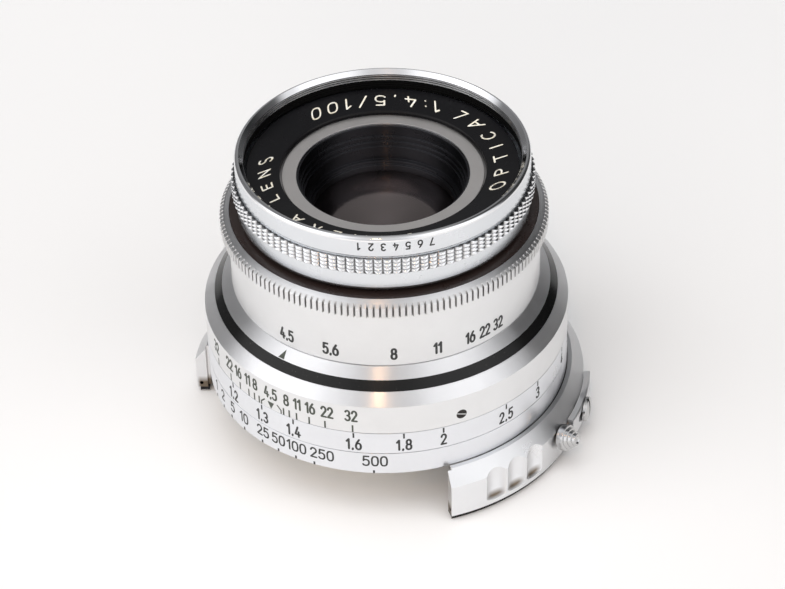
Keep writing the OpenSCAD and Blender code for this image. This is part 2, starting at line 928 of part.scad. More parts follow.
// Black retainer whose stepped bore keeps stray light off the front glass.
module front_retainer() {
    stairs = [
        for (i = [1:len(shelves) - 1])
            each [[shelves[i - 1][0], shelves[i][1]], shelves[i]]
    ];
    section = concat(
        [[front_clear_r, front_seat_z], [face_bore_r, front_seat_z], [face_bore_r, shelves[0][1]]],
        [shelves[0]], stairs
    );
    color([0.1, 0.1, 0.1]) turned(section);
}

module front_element() {
    color([0.75, 0.7, 0.72, 0.5]) {
        translate([0, 0, front_glass_z]) cylinder(r = front_glass_r, h = front_glass_t);
        dome_up(front_curve_r, front_clear_r, front_seat_z);
        dome_down(front_back_curve_r, front_clear_r, front_glass_z);
    }
}

module cell_spacer() {
    color([0.1, 0.1, 0.1]) ring(front_clear_r + fit, front_glass_r, second_z + second_t, front_glass_z);
}

module second_element() {
    color([0.75, 0.7, 0.72, 0.5]) difference() {
        translate([0, 0, second_z]) cylinder(r = front_glass_r, h = second_t);
        dome_down(second_front_curve_r, second_clear_r, second_z + second_t);
        dome_up(second_back_curve_r, second_clear_r, second_z);
    }
}

module front_ring() {
    knurl_z = lip_z - rim_h - rim_groove_h - knurl_h;
    foot = arc_points([rim_r - foot_curve_r, front_z + foot_curve_r], foot_curve_r, -72, 0, 8);
    groove_r = rim_r - rim_groove;
    section = concat(
        [[neck_r, front_z]],
        foot,
        [[rim_r, knurl_z], [knurl_root_r, knurl_z], [knurl_root_r, knurl_z + knurl_h]],
        [[groove_r, knurl_z + knurl_h + 0.05], [groove_r, lip_z - rim_h - 0.05], [rim_r, lip_z - rim_h]],
        [[rim_r, lip_z - lip_curve], [rim_r - lip_curve * 0.3, lip_z - lip_curve * 0.3]],
        [[rim_r - lip_curve, lip_z], [rim_r - lip_w, lip_z - 0.06], [thread_r, lip_z - lip_slope]],
        [[thread_r, name_top_z], [name_r, name_top_z], [name_r, name_z], [neck_r, name_z]]
    );
    color("whitesmoke") turned(section);
}

module name_ring() {
    section = [
        [name_bore_r, name_z], [name_r, name_z], [name_r, name_top_z], [name_bore_r, name_low_z]
    ];
    color([0.08, 0.08, 0.08]) turned(section);
}

// ---- Rear group ----

module rear_cell() {
    section = [
        [rear_thread_r, rear_cell_z], [barrel_bore_r, rear_cell_z], [barrel_bore_r, rear_cell_top],
        [rear_clear_r, rear_cell_top], [rear_clear_r, third_top], [rear_glass_r, third_top],
        [rear_glass_r, rear_seat_z], [rear_thread_r, rear_seat_z]
    ];
    color("gray") turned(section);
}

module third_element() {
    color([0.75, 0.7, 0.72, 0.5]) difference() {
        translate([0, 0, cement_z]) cylinder(r = rear_glass_r, h = third_top - cement_z);
        dome_up(cement_curve_r, cement_r, cement_z);
        dome_down(third_curve_r, third_clear_r, third_top);
    }
}

module fourth_element() {
    color([0.75, 0.7, 0.72, 0.5]) {
        translate([0, 0, rear_seat_z]) cylinder(r = rear_glass_r, h = cement_z - rear_seat_z);
        dome_up(cement_curve_r, cement_r, cement_z);
        dome_down(rear_curve_r, rear_clear_r, rear_seat_z);
    }
}

module rear_retainer() {
    low_z = rear_seat_z - rear_retainer_h;
    color([0.1, 0.1, 0.1]) difference() {
        ring(rear_clear_r + fit, rear_thread_r, low_z, rear_seat_z);
        translate([-rear_thread_r - cut, -rear_retainer_slot_w / 2, low_z - cut])
            cube([2 * (rear_thread_r + cut), rear_retainer_slot_w, cut + rear_retainer_slot_h]);
    }
}

module rear_baffle() {
    ridge_h = (baffle_top - rear_cell_z) / ridge_count;
    ridges = [
        for (i = [0:ridge_count - 1], p = [[ridge_root_r, 0], [ridge_crest_r, ridge_slope * ridge_h]])
            [p[0], rear_cell_z + i * ridge_h + p[1]]
    ];
    color([0.1, 0.1, 0.1])
        turned(concat([[rear_thread_r, baffle_top], [rear_thread_r, rear_cell_z]], ridges,
                      [[ridge_root_r, baffle_top]]));
}

// ---- Drawing ----

wing_collar();
base_plate();
base_tube();
tube_screws();
collar_screws();
lock_guide_screw();
lock_pad();
lock_knob();
inner_barrel();
main_shell();
scale_skirt();
black_band();
bevel_ring();
skirt_screws();
guide_keys();
speed_carrier();
speed_retainer();
retainer_screws();
flange_screws();
aperture_retainer();
front_ring();
name_ring();
front_cell();
front_retainer();
front_element();
cell_spacer();
second_element();
iris_plate();
rear_cell();
third_element();
fourth_element();
rear_retainer();
rear_baffle();
aperture_ring();
drive_screw();
iris_cam_ring();
iris_blade(0);  // iris_blade_01
iris_blade(1);  // iris_blade_02
iris_blade(2);  // iris_blade_03
iris_blade(3);  // iris_blade_04
iris_blade(4);  // iris_blade_05
iris_blade(5);  // iris_blade_06
iris_blade(6);  // iris_blade_07
iris_blade(7);  // iris_blade_08
iris_blade(8);  // iris_blade_09
iris_blade(9);  // iris_blade_10
distance_ring();
focus_nut();
nut_screws();
stop_pin();
speed_ring();
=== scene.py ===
"""Looks of the lens, built round its CAD model.

Every position is in the CAD frame, in millimetres until a mesh is made. Azimuths are in degrees from -Y,
where the index marks are, towards +X.
"""

import json
import math

import bmesh
import bpy
from mathutils import Matrix, Quaternion, Vector


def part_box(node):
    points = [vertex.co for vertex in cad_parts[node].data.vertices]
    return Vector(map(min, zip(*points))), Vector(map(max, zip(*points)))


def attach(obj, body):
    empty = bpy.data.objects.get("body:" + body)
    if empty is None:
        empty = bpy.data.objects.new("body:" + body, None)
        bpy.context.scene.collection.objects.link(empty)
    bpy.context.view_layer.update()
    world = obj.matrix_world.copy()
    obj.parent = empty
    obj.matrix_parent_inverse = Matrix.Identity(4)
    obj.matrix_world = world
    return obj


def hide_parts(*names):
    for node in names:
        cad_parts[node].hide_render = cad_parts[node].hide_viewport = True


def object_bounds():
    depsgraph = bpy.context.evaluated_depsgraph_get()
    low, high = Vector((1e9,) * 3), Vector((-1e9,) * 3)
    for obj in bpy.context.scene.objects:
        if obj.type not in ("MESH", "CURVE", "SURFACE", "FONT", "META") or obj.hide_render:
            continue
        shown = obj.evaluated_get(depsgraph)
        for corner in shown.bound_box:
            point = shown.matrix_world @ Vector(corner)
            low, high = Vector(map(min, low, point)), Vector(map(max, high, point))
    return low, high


MM = 0.001
COLUMNS = 384  # faces round a full turn
SHARP = math.radians(35)  # edges sharper than this stay crisp

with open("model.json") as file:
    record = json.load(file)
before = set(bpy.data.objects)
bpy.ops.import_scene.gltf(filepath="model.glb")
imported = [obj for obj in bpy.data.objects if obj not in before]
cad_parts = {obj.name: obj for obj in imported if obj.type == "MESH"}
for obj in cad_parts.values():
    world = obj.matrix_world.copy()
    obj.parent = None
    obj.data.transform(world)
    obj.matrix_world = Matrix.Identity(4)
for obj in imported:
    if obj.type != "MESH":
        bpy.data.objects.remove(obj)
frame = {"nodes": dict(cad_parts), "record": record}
cad_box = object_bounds()


# ---- Positions, read from the CAD ----


def reach(node):
    """Outer radius of a turned CAD node."""
    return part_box(node)[1].x / MM


def foot(node):
    """Height of a CAD node's lowest point."""
    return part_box(node)[0].z / MM


def top(node):
    """Height of a CAD node's highest point."""
    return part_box(node)[1].z / MM


# Skirt with the depth-of-field scale, and the rings that share its radius
RING_R = reach("scale_skirt")
SKIRT_Z = foot("scale_skirt")
BAND_Z = foot("black_band")
BAND_R = reach("black_band")
BEVEL_Z = foot("bevel_ring")
BEVEL_R = reach("bevel_ring")
BEVEL_TOP_R = 26.62
CONE_Z = BAND_Z - 1.9
DISTANCE_Z = foot("distance_ring")
DISTANCE_TOP = top("distance_ring")
SPEED_Z = foot("speed_ring")
SPEED_TOP = top("speed_ring")

# Aperture ring
APERTURE_Z = foot("aperture_ring")
APERTURE_TOP = top("aperture_ring")
APERTURE_R = 26.7
GRIP_R = reach("aperture_ring")
GRIP_H = 2.6
GRIP_Z = APERTURE_TOP - 0.4 - GRIP_H
GRIP_TEETH = 166
GRIP_DEPTH = 0.42
GRIP_ROOT_R = GRIP_R - GRIP_DEPTH - 0.2
CAP_R = reach("aperture_retainer")
CAP_Z = foot("aperture_retainer")
CAP_TOP = top("aperture_retainer")
SHELL_R = 23.9

# Front ring
FRONT_Z = foot("front_ring")
LIP_Z = top("front_ring")
RIM_R = 25.0
SHOULDER_R = 0.7
KNURL_R = 25.7
KNURL_Z = LIP_Z - 7.0
KNURL_H = 3.0
KNURL_DEPTH = 0.5
KNURL_TEETH = 104
KNURL_ROWS = 4
THREAD_R = 23.5
RECESS_R = THREAD_R + 0.3
RECESS_TOP = LIP_Z - 0.8

# Lettered ring and the face of the front cell
NAME_Z = foot("name_ring")
NAME_R = reach("name_ring")
NAME_BORE_R = 17.5
NAME_TOP = top("name_ring")
NAME_LOW = NAME_TOP - 0.85
FACE_Z = top("front_cell")
FACE_R = 17.1
FACE_BORE_R = 14.7

# Collar and rear plate
PLATE_T = top("base_plate")
PLATE_R = 34.2
THROAT_R = 16.0
COLLAR_R = 34.7
COLLAR_BORE_R = 32.3
COLLAR_TOP = top("wing_collar")
COLLAR_BEVEL = 2.6
WINDOW_HALF = 56

# Latch
LATCH_Z = 5.2
LATCH_HALF_H = 2.1
LATCH_R = 35.9
LATCH_AZ = 97
LATCH_END_AZ = 124
GUIDE_AZ = 111.5
KNOB_FOOT_R = 35.2
KNOB_LEAN = 11


# ---- Meshes ----


def polar(radius, azimuth, z):
    """A point at an azimuth counted from -Y towards +X, in metres."""
    a = math.radians(azimuth)
    return Vector((radius * math.sin(a), -radius * math.cos(a), z)) * MM


def linked(name, data):
    """A new object in the scene."""
    obj = bpy.data.objects.new(name, data)
    bpy.context.scene.collection.objects.link(obj)
    return obj


def piece(name, verts, faces, material, body, replaces=()):
    """A smooth-shaded mesh that rides on a body and stands for the CAD nodes it replaces."""
    mesh = bpy.data.meshes.new(name)
    mesh.from_pydata(verts, [], faces)
    shape = bmesh.new()
    shape.from_mesh(mesh)
    bmesh.ops.recalc_face_normals(shape, faces=shape.faces)
    shape.to_mesh(mesh)
    shape.free()
    mesh.polygons.foreach_set("use_smooth", [True] * len(mesh.polygons))
    mesh.set_sharp_from_angle(angle=SHARP)
    mesh.materials.append(material)
    obj = linked(name, mesh)
    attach(obj, body)
    if replaces:
        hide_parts(*replaces)
    return obj


def weighted(obj):
    """Lets the large faces keep their own normals, so that only the rounded edges shade softly."""
    modifier = obj.modifiers.new("weighted", "WEIGHTED_NORMAL")
    modifier.keep_sharp = True
    modifier.weight = 100
    return obj


def rounded(section, radius, steps=3):
    """The closed half section with each corner replaced by a small curve."""
    tiny, nearly_straight, longest_share = 1e-6, 0.15, 0.45
    points = []
    count = len(section)
    for i, corner in enumerate(section):
        here = Vector(corner)
        before = Vector(section[i - 1]) - here
        after = Vector(section[(i + 1) % count]) - here
        if min(before.length, after.length) < tiny or math.pi - before.angle(after) < nearly_straight:
            points.append(tuple(here))
            continue
        reach_back = before.normalized() * min(radius, before.length * longest_share)
        reach_on = after.normalized() * min(radius, after.length * longest_share)
        for k in range(steps + 1):
            t = k / steps
            point = here + (1 - t) ** 2 * reach_back + t**2 * reach_on
            points.append(tuple(point))
    return points


def arc(centre, radius, start, end, steps):
    """Points of a half section on a circle."""
    angles = [math.radians(start + (end - start) * i / steps) for i in range(steps + 1)]
    return [(centre[0] + radius * math.cos(a), centre[1] + radius * math.sin(a)) for a in angles]


def lathe(name, section, material, body, replaces=(), round_r=0.06, span=None):
    """A turned ring, or with a span of azimuths an open sector with flat ends."""
    section = rounded(section, round_r) if round_r else list(section)
    rows = len(section)
    first, last = span or (0, 360)
    columns = COLUMNS if span is None else max(8, round(COLUMNS * (last - first) / 360))
    stations = columns if span is None else columns + 1
    verts = []
    for j in range(stations):
        azimuth = first + (last - first) * j / columns
        verts.extend(polar(r, azimuth, z) for r, z in section)
    faces = []
    for j in range(columns):
        near = j * rows
        far = (j + 1) % stations * rows
        for i in range(rows):
            k = (i + 1) % rows
            faces.append((near + i, near + k, far + k, far + i))
    if span is not None:
        faces.append(tuple(range(rows)))
        faces.append(tuple(reversed(range((stations - 1) * rows, stations * rows))))
    return weighted(piece(name, verts, faces, material, body, replaces))


def band(name, columns, heights, radius_at, material, body, replaces=()):
    """An open skin round the axis whose radius depends on the share of a turn and the height."""
    verts = []
    for z in heights:
        verts.extend(polar(radius_at(j / columns, z), 360 * j / columns, z) for j in range(columns))
    faces = []
    for i in range(len(heights) - 1):
        for j in range(columns):
            k = (j + 1) % columns
            faces.append((i * columns + j, i * columns + k, (i + 1) * columns + k, (i + 1) * columns + j))
    return piece(name, verts, faces, material, body, replaces)


def carve(obj, cutters, edge):
    """Cuts the cutter meshes out of obj, rounds its sharp edges and deletes the cutters."""
    for cutter in cutters:
        modifier = obj.modifiers.new("cut", "BOOLEAN")
        modifier.operation = "DIFFERENCE"
        modifier.solver = "EXACT"
        modifier.object = cutter
    bpy.context.view_layer.update()
    baked = bpy.data.meshes.new_from_object(obj.evaluated_get(bpy.context.evaluated_depsgraph_get()))
    obj.modifiers.clear()
    obj.data = baked
    for cutter in cutters:
        bpy.data.objects.remove(cutter)
    baked.polygons.foreach_set("use_smooth", [True] * len(baked.polygons))
    baked.set_sharp_from_angle(angle=SHARP)
    if edge:
        modifier = obj.modifiers.new("edges", "BEVEL")
        modifier.width = edge * MM
        modifier.segments = 2
        modifier.limit_method = "ANGLE"
        modifier.angle_limit = SHARP
        modifier.harden_normals = True
    return obj


def cutter_from(shape, place):
    """A loose cutter object made from a bmesh built at the origin in millimetres."""
    mesh = bpy.data.meshes.new("cutter")
    shape.to_mesh(mesh)
    shape.free()
    mesh.transform(Matrix.Scale(MM, 4) @ place)
    return linked("cutter", mesh)


def turned_to(azimuth):
    """Turns something built at -Y to an azimuth."""
    return Matrix.Rotation(math.radians(azimuth), 4, "Z")


def rod_cutter(radius, length, place, foot_radius=None, segments=96):
    """A cylinder or cone cutter from the origin up its own Z axis."""
    shape = bmesh.new()
    foot_radius = radius if foot_radius is None else foot_radius
    bmesh.ops.create_cone(
        shape, cap_ends=True, segments=segments, radius1=foot_radius, radius2=radius, depth=length,
        matrix=Matrix.Translation((0, 0, length / 2)),
    )
    return cutter_from(shape, place)


def profile_cutter(section, place, segments=96):
    """A cutter turned about its own Z axis from points of radius and height, capped at both ends."""
    verts, faces = [], []
    for r, z in section:
        verts.extend((r * math.cos(2 * math.pi * k / segments), r * math.sin(2 * math.pi * k / segments), z)
                     for k in range(segments))
    for i in range(len(section) - 1):
        for k in range(segments):
            j = (k + 1) % segments
            faces.append((i * segments + k, i * segments + j, (i + 1) * segments + j, (i + 1) * segments + k))
    faces.append(tuple(reversed(range(segments))))
    faces.append(tuple(range((len(section) - 1) * segments, len(section) * segments)))
    mesh = bpy.data.meshes.new("profile")
    mesh.from_pydata(verts, [], faces)
    shape = bmesh.new()
    shape.from_mesh(mesh)
    bpy.data.meshes.remove(mesh)
    return cutter_from(shape, place)


def block_cutter(size, place):
    """A box cutter about its own centre."""
    shape = bmesh.new()
    bmesh.ops.create_cube(shape, size=1, matrix=Matrix.Diagonal((*size, 1)))
    return cutter_from(shape, place)


# ---- Stroke lettering: engraved with a round cutter, so every stroke has round ends ----

UNIT = 6.0


def bow(cx, cy, rx, ry, start, end, squareness=2.0):
    """Points of an oval bow in glyph units. Above 2 the sides are straighter."""
    steps = max(4, round(abs(end - start) / 15))
    points = []
    for i in range(steps + 1):
        a = math.radians(start + (end - start) * i / steps)
        c, s = math.cos(a), math.sin(a)
        points.append((
            cx + rx * math.copysign(abs(c) ** (2 / squareness), c),
            cy + ry * math.copysign(abs(s) ** (2 / squareness), s),
        ))
    return points


P_STROKE = [(0, 0), (0, 6), (1.5, 6)] + bow(1.5, 4.5, 1.5, 1.5, 90, -90) + [(0, 3)]

# Each glyph is its width and its strokes, on a height of six units.
GLYPHS = {
    "0": (3.2, [bow(1.6, 3, 1.6, 3, 0, 360, 2.7)]),
    "1": (1.7, [[(0, 4.6), (1.4, 6), (1.4, 0)]]),
    "2": (3.2, [bow(1.6, 4.3, 1.5, 1.7, 170, -25) + [(0.05, 0), (3.2, 0)]]),
    "3": (3.2, [bow(1.55, 4.5, 1.4, 1.5, 150, -90), bow(1.55, 1.55, 1.6, 1.5, 90, -150)]),
    "4": (3.5, [[(1.9, 6), (0.1, 1.5), (3.5, 1.5)], [(2.5, 3.1), (2.5, 0)]]),
    "5": (3.2, [[(3, 6), (0.5, 6), (0.3, 3.2)] + bow(1.5, 1.95, 1.65, 1.95, 125, -150, 2.3)]),
    "6": (3.2, [bow(1.6, 1.9, 1.6, 1.9, 0, 360, 2.3), [(0.05, 2.2), (0.5, 3.9), (2.1, 6)]]),
    "7": (3.1, [[(0, 6), (3.1, 6), (1.1, 0)]]),
    "8": (3.2, [bow(1.6, 4.55, 1.35, 1.45, 0, 360, 2.3), bow(1.6, 1.55, 1.6, 1.55, 0, 360, 2.3)]),
    "9": (3.2, [bow(1.6, 4.1, 1.6, 1.9, 0, 360, 2.3), [(3.15, 3.8), (2.7, 2.1), (1.1, 0)]]),
    ",": (0.8, [[(0.5, 0.35), (0.3, -0.35)]]),
    ":": (0.5, [[(0.2, 1), (0.2, 1.1)], [(0.2, 4.2), (0.2, 4.3)]]),
    "/": (2.4, [[(0, -0.3), (2.4, 6.3)]]),
    " ": (2.0, []),
    "A": (3.8, [[(0, 0), (1.9, 6), (3.8, 0)], [(0.7, 1.9), (3.1, 1.9)]]),
    "C": (3.4, [bow(1.9, 3, 1.9, 3, 48, 312)]),
    "E": (2.8, [[(2.8, 6), (0, 6), (0, 0), (2.8, 0)], [(0, 3.1), (2.4, 3.1)]]),
    "I": (0.3, [[(0.1, 0), (0.1, 6)]]),
    "L": (2.7, [[(0, 6), (0, 0), (2.7, 0)]]),
    "M": (4.2, [[(0, 0), (0, 6), (2.1, 2.4), (4.2, 6), (4.2, 0)]]),
    "N": (3.4, [[(0, 0), (0, 6), (3.4, 0), (3.4, 6)]]),
    "O": (3.9, [bow(1.95, 3, 1.95, 3, 0, 360)]),
    "P": (3.0, [P_STROKE]),
    "R": (3.1, [P_STROKE, [(1.6, 3), (3.1, 0)]]),
    "S": (3.0, [bow(1.5, 4.5, 1.4, 1.5, 50, 270), bow(1.5, 1.5, 1.5, 1.5, 90, -140)]),
    "T": (3.2, [[(0, 6), (3.2, 6)], [(1.6, 6), (1.6, 0)]]),
}


class Seat:
    """A strip of a turned surface that marks lie on.

    It has a radius and height to start from, and a way up it in the half section.
    """

    def __init__(self, radius, z, rise=(0, 1), lift=0.015):
        length = math.hypot(*rise)
        self.rise = (rise[0] / length, rise[1] / length)
        self.radius = radius + self.rise[1] * lift
        self.z = z - self.rise[0] * lift

    def point(self, azimuth, x, y):
        """The place of a flat mark's point, x along the strip and y up it."""
        radius = self.radius + y * self.rise[0]
        z = self.z + y * self.rise[1]
        return polar(radius, azimuth + math.degrees(x / radius), z)


def between(a, b, share):
    """The point at a share of the way from a to b."""
    return (a[0] + (b[0] - a[0]) * share, a[1] + (b[1] - a[1]) * share)


def stroke_shape(points, width):
    """Flat polygons that draw a stroke with round ends: short strips, and a disc at every bend."""
    longest_strip, disc_sides = 0.6, 12
    half = width / 2
    dense = [points[0]]
    for a, b in zip(points, points[1:]):
        cuts = max(1, math.ceil(math.dist(a, b) / longest_strip))
        dense.extend(between(a, b, i / cuts) for i in range(1, cuts + 1))
    polygons = []
    for a, b in zip(dense, dense[1:]):
        length = math.dist(a, b) or 1
        nx, ny = -(b[1] - a[1]) / length * half, (b[0] - a[0]) / length * half
        far_side = [(b[0] - nx, b[1] - ny), (a[0] - nx, a[1] - ny)]
        polygons.append([(a[0] + nx, a[1] + ny), (b[0] + nx, b[1] + ny)] + far_side)
    last = 360 - 360 / disc_sides
    polygons.extend(arc(point, half, 0, last, disc_sides - 1) for point in points)
    return polygons


def text_shape(text, height, width, squeeze=1.0, gap=1.1, turn=False):
    """Polygons of a line of text, centred, in millimetres. turn draws it upside down."""
    scale = height / UNIT
    total = sum(GLYPHS[c][0] for c in text) + gap * (len(text) - 1)
    polygons = []
    x0 = -total / 2
    for c in text:
        for stroke in GLYPHS[c][1]:
            line = [((x0 + x) * scale * squeeze, (y - UNIT / 2) * scale) for x, y in stroke]
            polygons.extend(stroke_shape(line, width))
        x0 += GLYPHS[c][0] + gap
    if turn:
        polygons = [[(-x, -y) for x, y in polygon] for polygon in polygons]
    return polygons


def marks(name, seat, shapes, material, body):
    """One piece that holds flat shapes, each given as (azimuth, polygons), laid on a seat."""
    verts, faces = [], []
    for azimuth, polygons in shapes:
        for polygon in polygons:
            base = len(verts)
            verts.extend(seat.point(azimuth, x, y) for x, y in polygon)
            faces.append(tuple(range(base, base + len(polygon))))
    return piece(name, verts, faces, material, body)


def tick(low, high, width):
    """A straight mark up the seat, with square ends."""
    half = width / 2
    return [[(-half, low), (half, low), (half, high), (-half, high)]]


# ---- Materials ----


def nodes_of(name):
    """A new material with its node tree and shader node."""
    material = bpy.data.materials.new(name)
    material.use_nodes = True
    tree = material.node_tree
    return material, tree, tree.nodes["Principled BSDF"]


def fed(node, *values):
    """The node with sockets or plain values put into its inputs, in order."""
    for entry, value in zip(node.inputs, values):
        if isinstance(value, bpy.types.NodeSocket):
            node.id_data.links.new(value, entry)
        else:
            entry.default_value = value
    return node


def math_of(tree, operation, *values):
    """The result of a math node."""
    node = fed(tree.nodes.new("ShaderNodeMath"), *values)
    node.operation = operation
    return node.outputs[0]


def own_place(tree):
    """Position in the CAD frame, in metres."""
    return tree.nodes.new("ShaderNodeTexCoord").outputs["Object"]


def around_axis(tree):
    """Coordinates of radius, height and turn about the optical axis, in metres and radians."""
    x, y, z = fed(tree.nodes.new("ShaderNodeSeparateXYZ"), own_place(tree)).outputs
    flat = fed(tree.nodes.new("ShaderNodeCombineXYZ"), x, y).outputs[0]
    length = fed(tree.nodes.new("ShaderNodeVectorMath"), flat)
    length.operation = "LENGTH"
    turn = math_of(tree, "ARCTAN2", y, x)
    return fed(tree.nodes.new("ShaderNodeCombineXYZ"), length.outputs["Value"], z, turn).outputs[0]


def scaled(tree, vector, factors):
    """The vector with each part multiplied."""
    node = fed(tree.nodes.new("ShaderNodeVectorMath"), vector, factors)
    node.operation = "MULTIPLY"
    return node.outputs[0]


def noise(tree, vector, scale, detail=3.0, roughness=0.6):
    """Cloudy noise with a mean of one half."""
    node = tree.nodes.new("ShaderNodeTexNoise")
    tree.links.new(vector, node.inputs["Vector"])
    node.inputs["Scale"].default_value = scale
    node.inputs["Detail"].default_value = detail
    node.inputs["Roughness"].default_value = roughness
    return node.outputs["Fac"]


def span_to(tree, value, low, high, out_low, out_high):
    """A value stretched from one range to another and held inside it."""
    node = fed(tree.nodes.new("ShaderNodeMapRange"), value, low, high, out_low, out_high)
    return node.outputs["Result"]


def clouded(tree, cloud, out_low, out_high):
    """Noise stretched so that its usual range fills the one given."""
    return span_to(tree, cloud, 0.3, 0.7, out_low, out_high)


def rings(tree, place, scale):
    """Noise that runs round the axis, so that it draws lathe lines."""
    return noise(tree, scaled(tree, place, (1, 1, 0.0004)), scale, 1)


def blended(tree, factor, one, two):
    """A colour between two colours; each is a colour value or a socket."""
    node = tree.nodes.new("ShaderNodeMix")
    node.data_type = "RGBA"
    sockets = [s for s in node.inputs if s.type == "RGBA"]
    tree.links.new(factor, node.inputs[0])
    for socket, source in zip(sockets, (one, two)):
        if isinstance(source, bpy.types.NodeSocket):
            tree.links.new(source, socket)
        else:
            socket.default_value = (*source, 1)
    return [s for s in node.outputs if s.type == "RGBA"][0]


def crevices(tree, distance):
    """Near 1 in corners and grooves, 0 on open surfaces."""
    node = tree.nodes.new("ShaderNodeAmbientOcclusion")
    node.samples = 8
    node.inputs["Distance"].default_value = distance * MM
    return math_of(tree, "SUBTRACT", 1, node.outputs["AO"])


def bump(tree, shader, height, strength, distance):
    """Relief of a given depth in millimetres."""
    node = tree.nodes.new("ShaderNodeBump")
    node.inputs["Strength"].default_value = strength
    node.inputs["Distance"].default_value = distance * MM
    tree.links.new(height, node.inputs["Height"])
    tree.links.new(node.outputs["Normal"], shader.inputs["Normal"])


def turned_metal(name, color, rough, lines=0.3, brushed=0.0, corner_shade=None, corner_shade_reach=0.6, recess_shade=None):
    """Metal finished on a lathe: rings of fine lines and slight stains.

    The colour given for corners is painted shade, laid where ambient occlusion finds corners and grooves.
    The colour given with a radius and a height in millimetres, each with the reach over which it fades, is
    painted shade laid on what lies inside that radius and under that height.
    """
    material, tree, shader = nodes_of(name)
    place = around_axis(tree)
    spot = own_place(tree)
    fine = rings(tree, place, 5000)
    cloud = noise(tree, spot, 160, 4)
    grain = noise(tree, spot, 4500, 1)
    shader.inputs["Metallic"].default_value = 1
    shade = blended(tree, clouded(tree, cloud, 0, 1), tuple(c * 0.95 for c in color), color)
    # Painted shade in corners and grooves, found by ambient occlusion.
    if corner_shade:
        shade = blended(tree, span_to(tree, crevices(tree, corner_shade_reach), 0.25, 0.9, 0, 0.9), shade, corner_shade)
    # Painted shade laid inside a radius and under a height.
    if recess_shade:
        recess_shade_colour, (radius, radius_fade), (height, height_fade) = recess_shade
        from_axis, up, _ = fed(tree.nodes.new("ShaderNodeSeparateXYZ"), place).outputs
        inside = span_to(tree, from_axis, (radius - radius_fade) * MM, radius * MM, 1, 0)
        under = span_to(tree, up, (height - height_fade) * MM, height * MM, 1, 0)
        shade = blended(tree, math_of(tree, "MULTIPLY", inside, under), shade, recess_shade_colour)
    tree.links.new(shade, shader.inputs["Base Color"])
    tree.links.new(clouded(tree, cloud, rough * 0.85, rough * 1.15), shader.inputs["Roughness"])
    grain_share, relief = 0.35, 0.004
    bump(tree, shader, math_of(tree, "MULTIPLY_ADD", grain, grain_share, fine), lines, relief)
    if brushed:
        shader.inputs["Anisotropic"].default_value = brushed
        shader.inputs["Anisotropic Rotation"].default_value = 0.25
        tangent = tree.nodes.new("ShaderNodeTangent")
        tangent.direction_type = "RADIAL"
        tangent.axis = "Z"
        tree.links.new(tangent.outputs[0], shader.inputs["Tangent"])
    return material


def dark_coat(name, color, rough, worn=(0.2, 0.19, 0.18), wear=0.0, coat=0.0, lines=0.2, shine=0.35):
    """Black finish with faint lathe lines and specks of wear."""
    material, tree, shader = nodes_of(name)
    spot = own_place(tree)
    fine = rings(tree, around_axis(tree), 4500)
    cloud = noise(tree, spot, 220, 4)
    specks = span_to(tree, noise(tree, spot, 2200, 4, 0.7), 0.66, 0.72, 0, wear)
    shade = blended(tree, specks, color, worn)
    tree.links.new(shade, shader.inputs["Base Color"])
    tree.links.new(clouded(tree, cloud, rough * 0.8, rough * 1.25), shader.inputs["Roughness"])
    shader.inputs["Specular IOR Level"].default_value = shine
    shader.inputs["Coat Weight"].default_value = coat
    shader.inputs["Coat Roughness"].default_value = 0.08
    bump(tree, shader, fine, lines, 0.005)
    return material


def ink(name, color, chipped, chip=0.5):
    """Paint in an engraved mark, a little uneven, with small chips that show the metal."""
    material, tree, shader = nodes_of(name)
    spot = own_place(tree)
    uneven = noise(tree, spot, 1500, 3)
    chips = span_to(tree, noise(tree, spot, 5200, 3, 0.7), 0.63, 0.7, 0, chip)
    light = tuple(min(1, c * 1.6 + 0.02) for c in color)
    shade = blended(tree, chips, blended(tree, span_to(tree, uneven, 0.35, 0.7, 0, 1), color, light), chipped)
    tree.links.new(shade, shader.inputs["Base Color"])
    tree.links.new(clouded(tree, uneven, 0.35, 0.65), shader.inputs["Roughness"])
    bump(tree, shader, uneven, 0.2, 0.01)
    return material


def coated_glass(name, tint, coat_tint, ior=1.55, rough=(0.0, 0.08)):
    """Lens glass with a coating that tints its reflection and a trace of dust that dulls it."""
    material, tree, shader = nodes_of(name)
    spot = own_place(tree)
    dust = noise(tree, spot, 3500, 4, 0.7)
    film = noise(tree, spot, 120, 3)
    shader.inputs["Transmission Weight"].default_value = 1
    shader.inputs["IOR"].default_value = ior
    shade = blended(tree, clouded(tree, film, 0, 1), tint, tuple(c * 0.97 for c in tint))
    tree.links.new(shade, shader.inputs["Base Color"])
    tree.links.new(span_to(tree, dust, 0.62, 0.8, *rough), shader.inputs["Roughness"])
    shader.inputs["Specular Tint"].default_value = (*coat_tint, 1)
    return material


SILVER = turned_metal("satin_silver", (0.8, 0.805, 0.81), rough=0.34, brushed=0.35)
BLUE_SILVER = turned_metal("scale_silver", (0.8, 0.815, 0.845), rough=0.32, lines=0.25, brushed=0.3)
BRIGHT = turned_metal("bright_bevel", (0.88, 0.88, 0.89), rough=0.33, brushed=0.97)
CHROME = turned_metal("polished_rim", (0.88, 0.885, 0.9), rough=0.09, lines=0.03)
SATIN_RIM = turned_metal("satin_rim", (0.76, 0.785, 0.815), rough=0.25, lines=0.06)
# The knurled rim's recess colour is painted shade in the valleys of the knurl.
KNURLED = turned_metal(
    "knurled_rim", (0.87, 0.88, 0.9), rough=0.16, lines=0.05,
    recess_shade=((0.08, 0.075, 0.07), (KNURL_R - 0.25, KNURL_DEPTH - 0.2), (LIP_Z, 0.1)),
)
# The grip's corner colour is painted shade in the grooves between its teeth.
GRIP = turned_metal(
    "toothed_grip", (0.84, 0.84, 0.84), rough=0.42, lines=0.2, brushed=0.9,
    corner_shade=(0.08, 0.07, 0.06), corner_shade_reach=0.45,
)
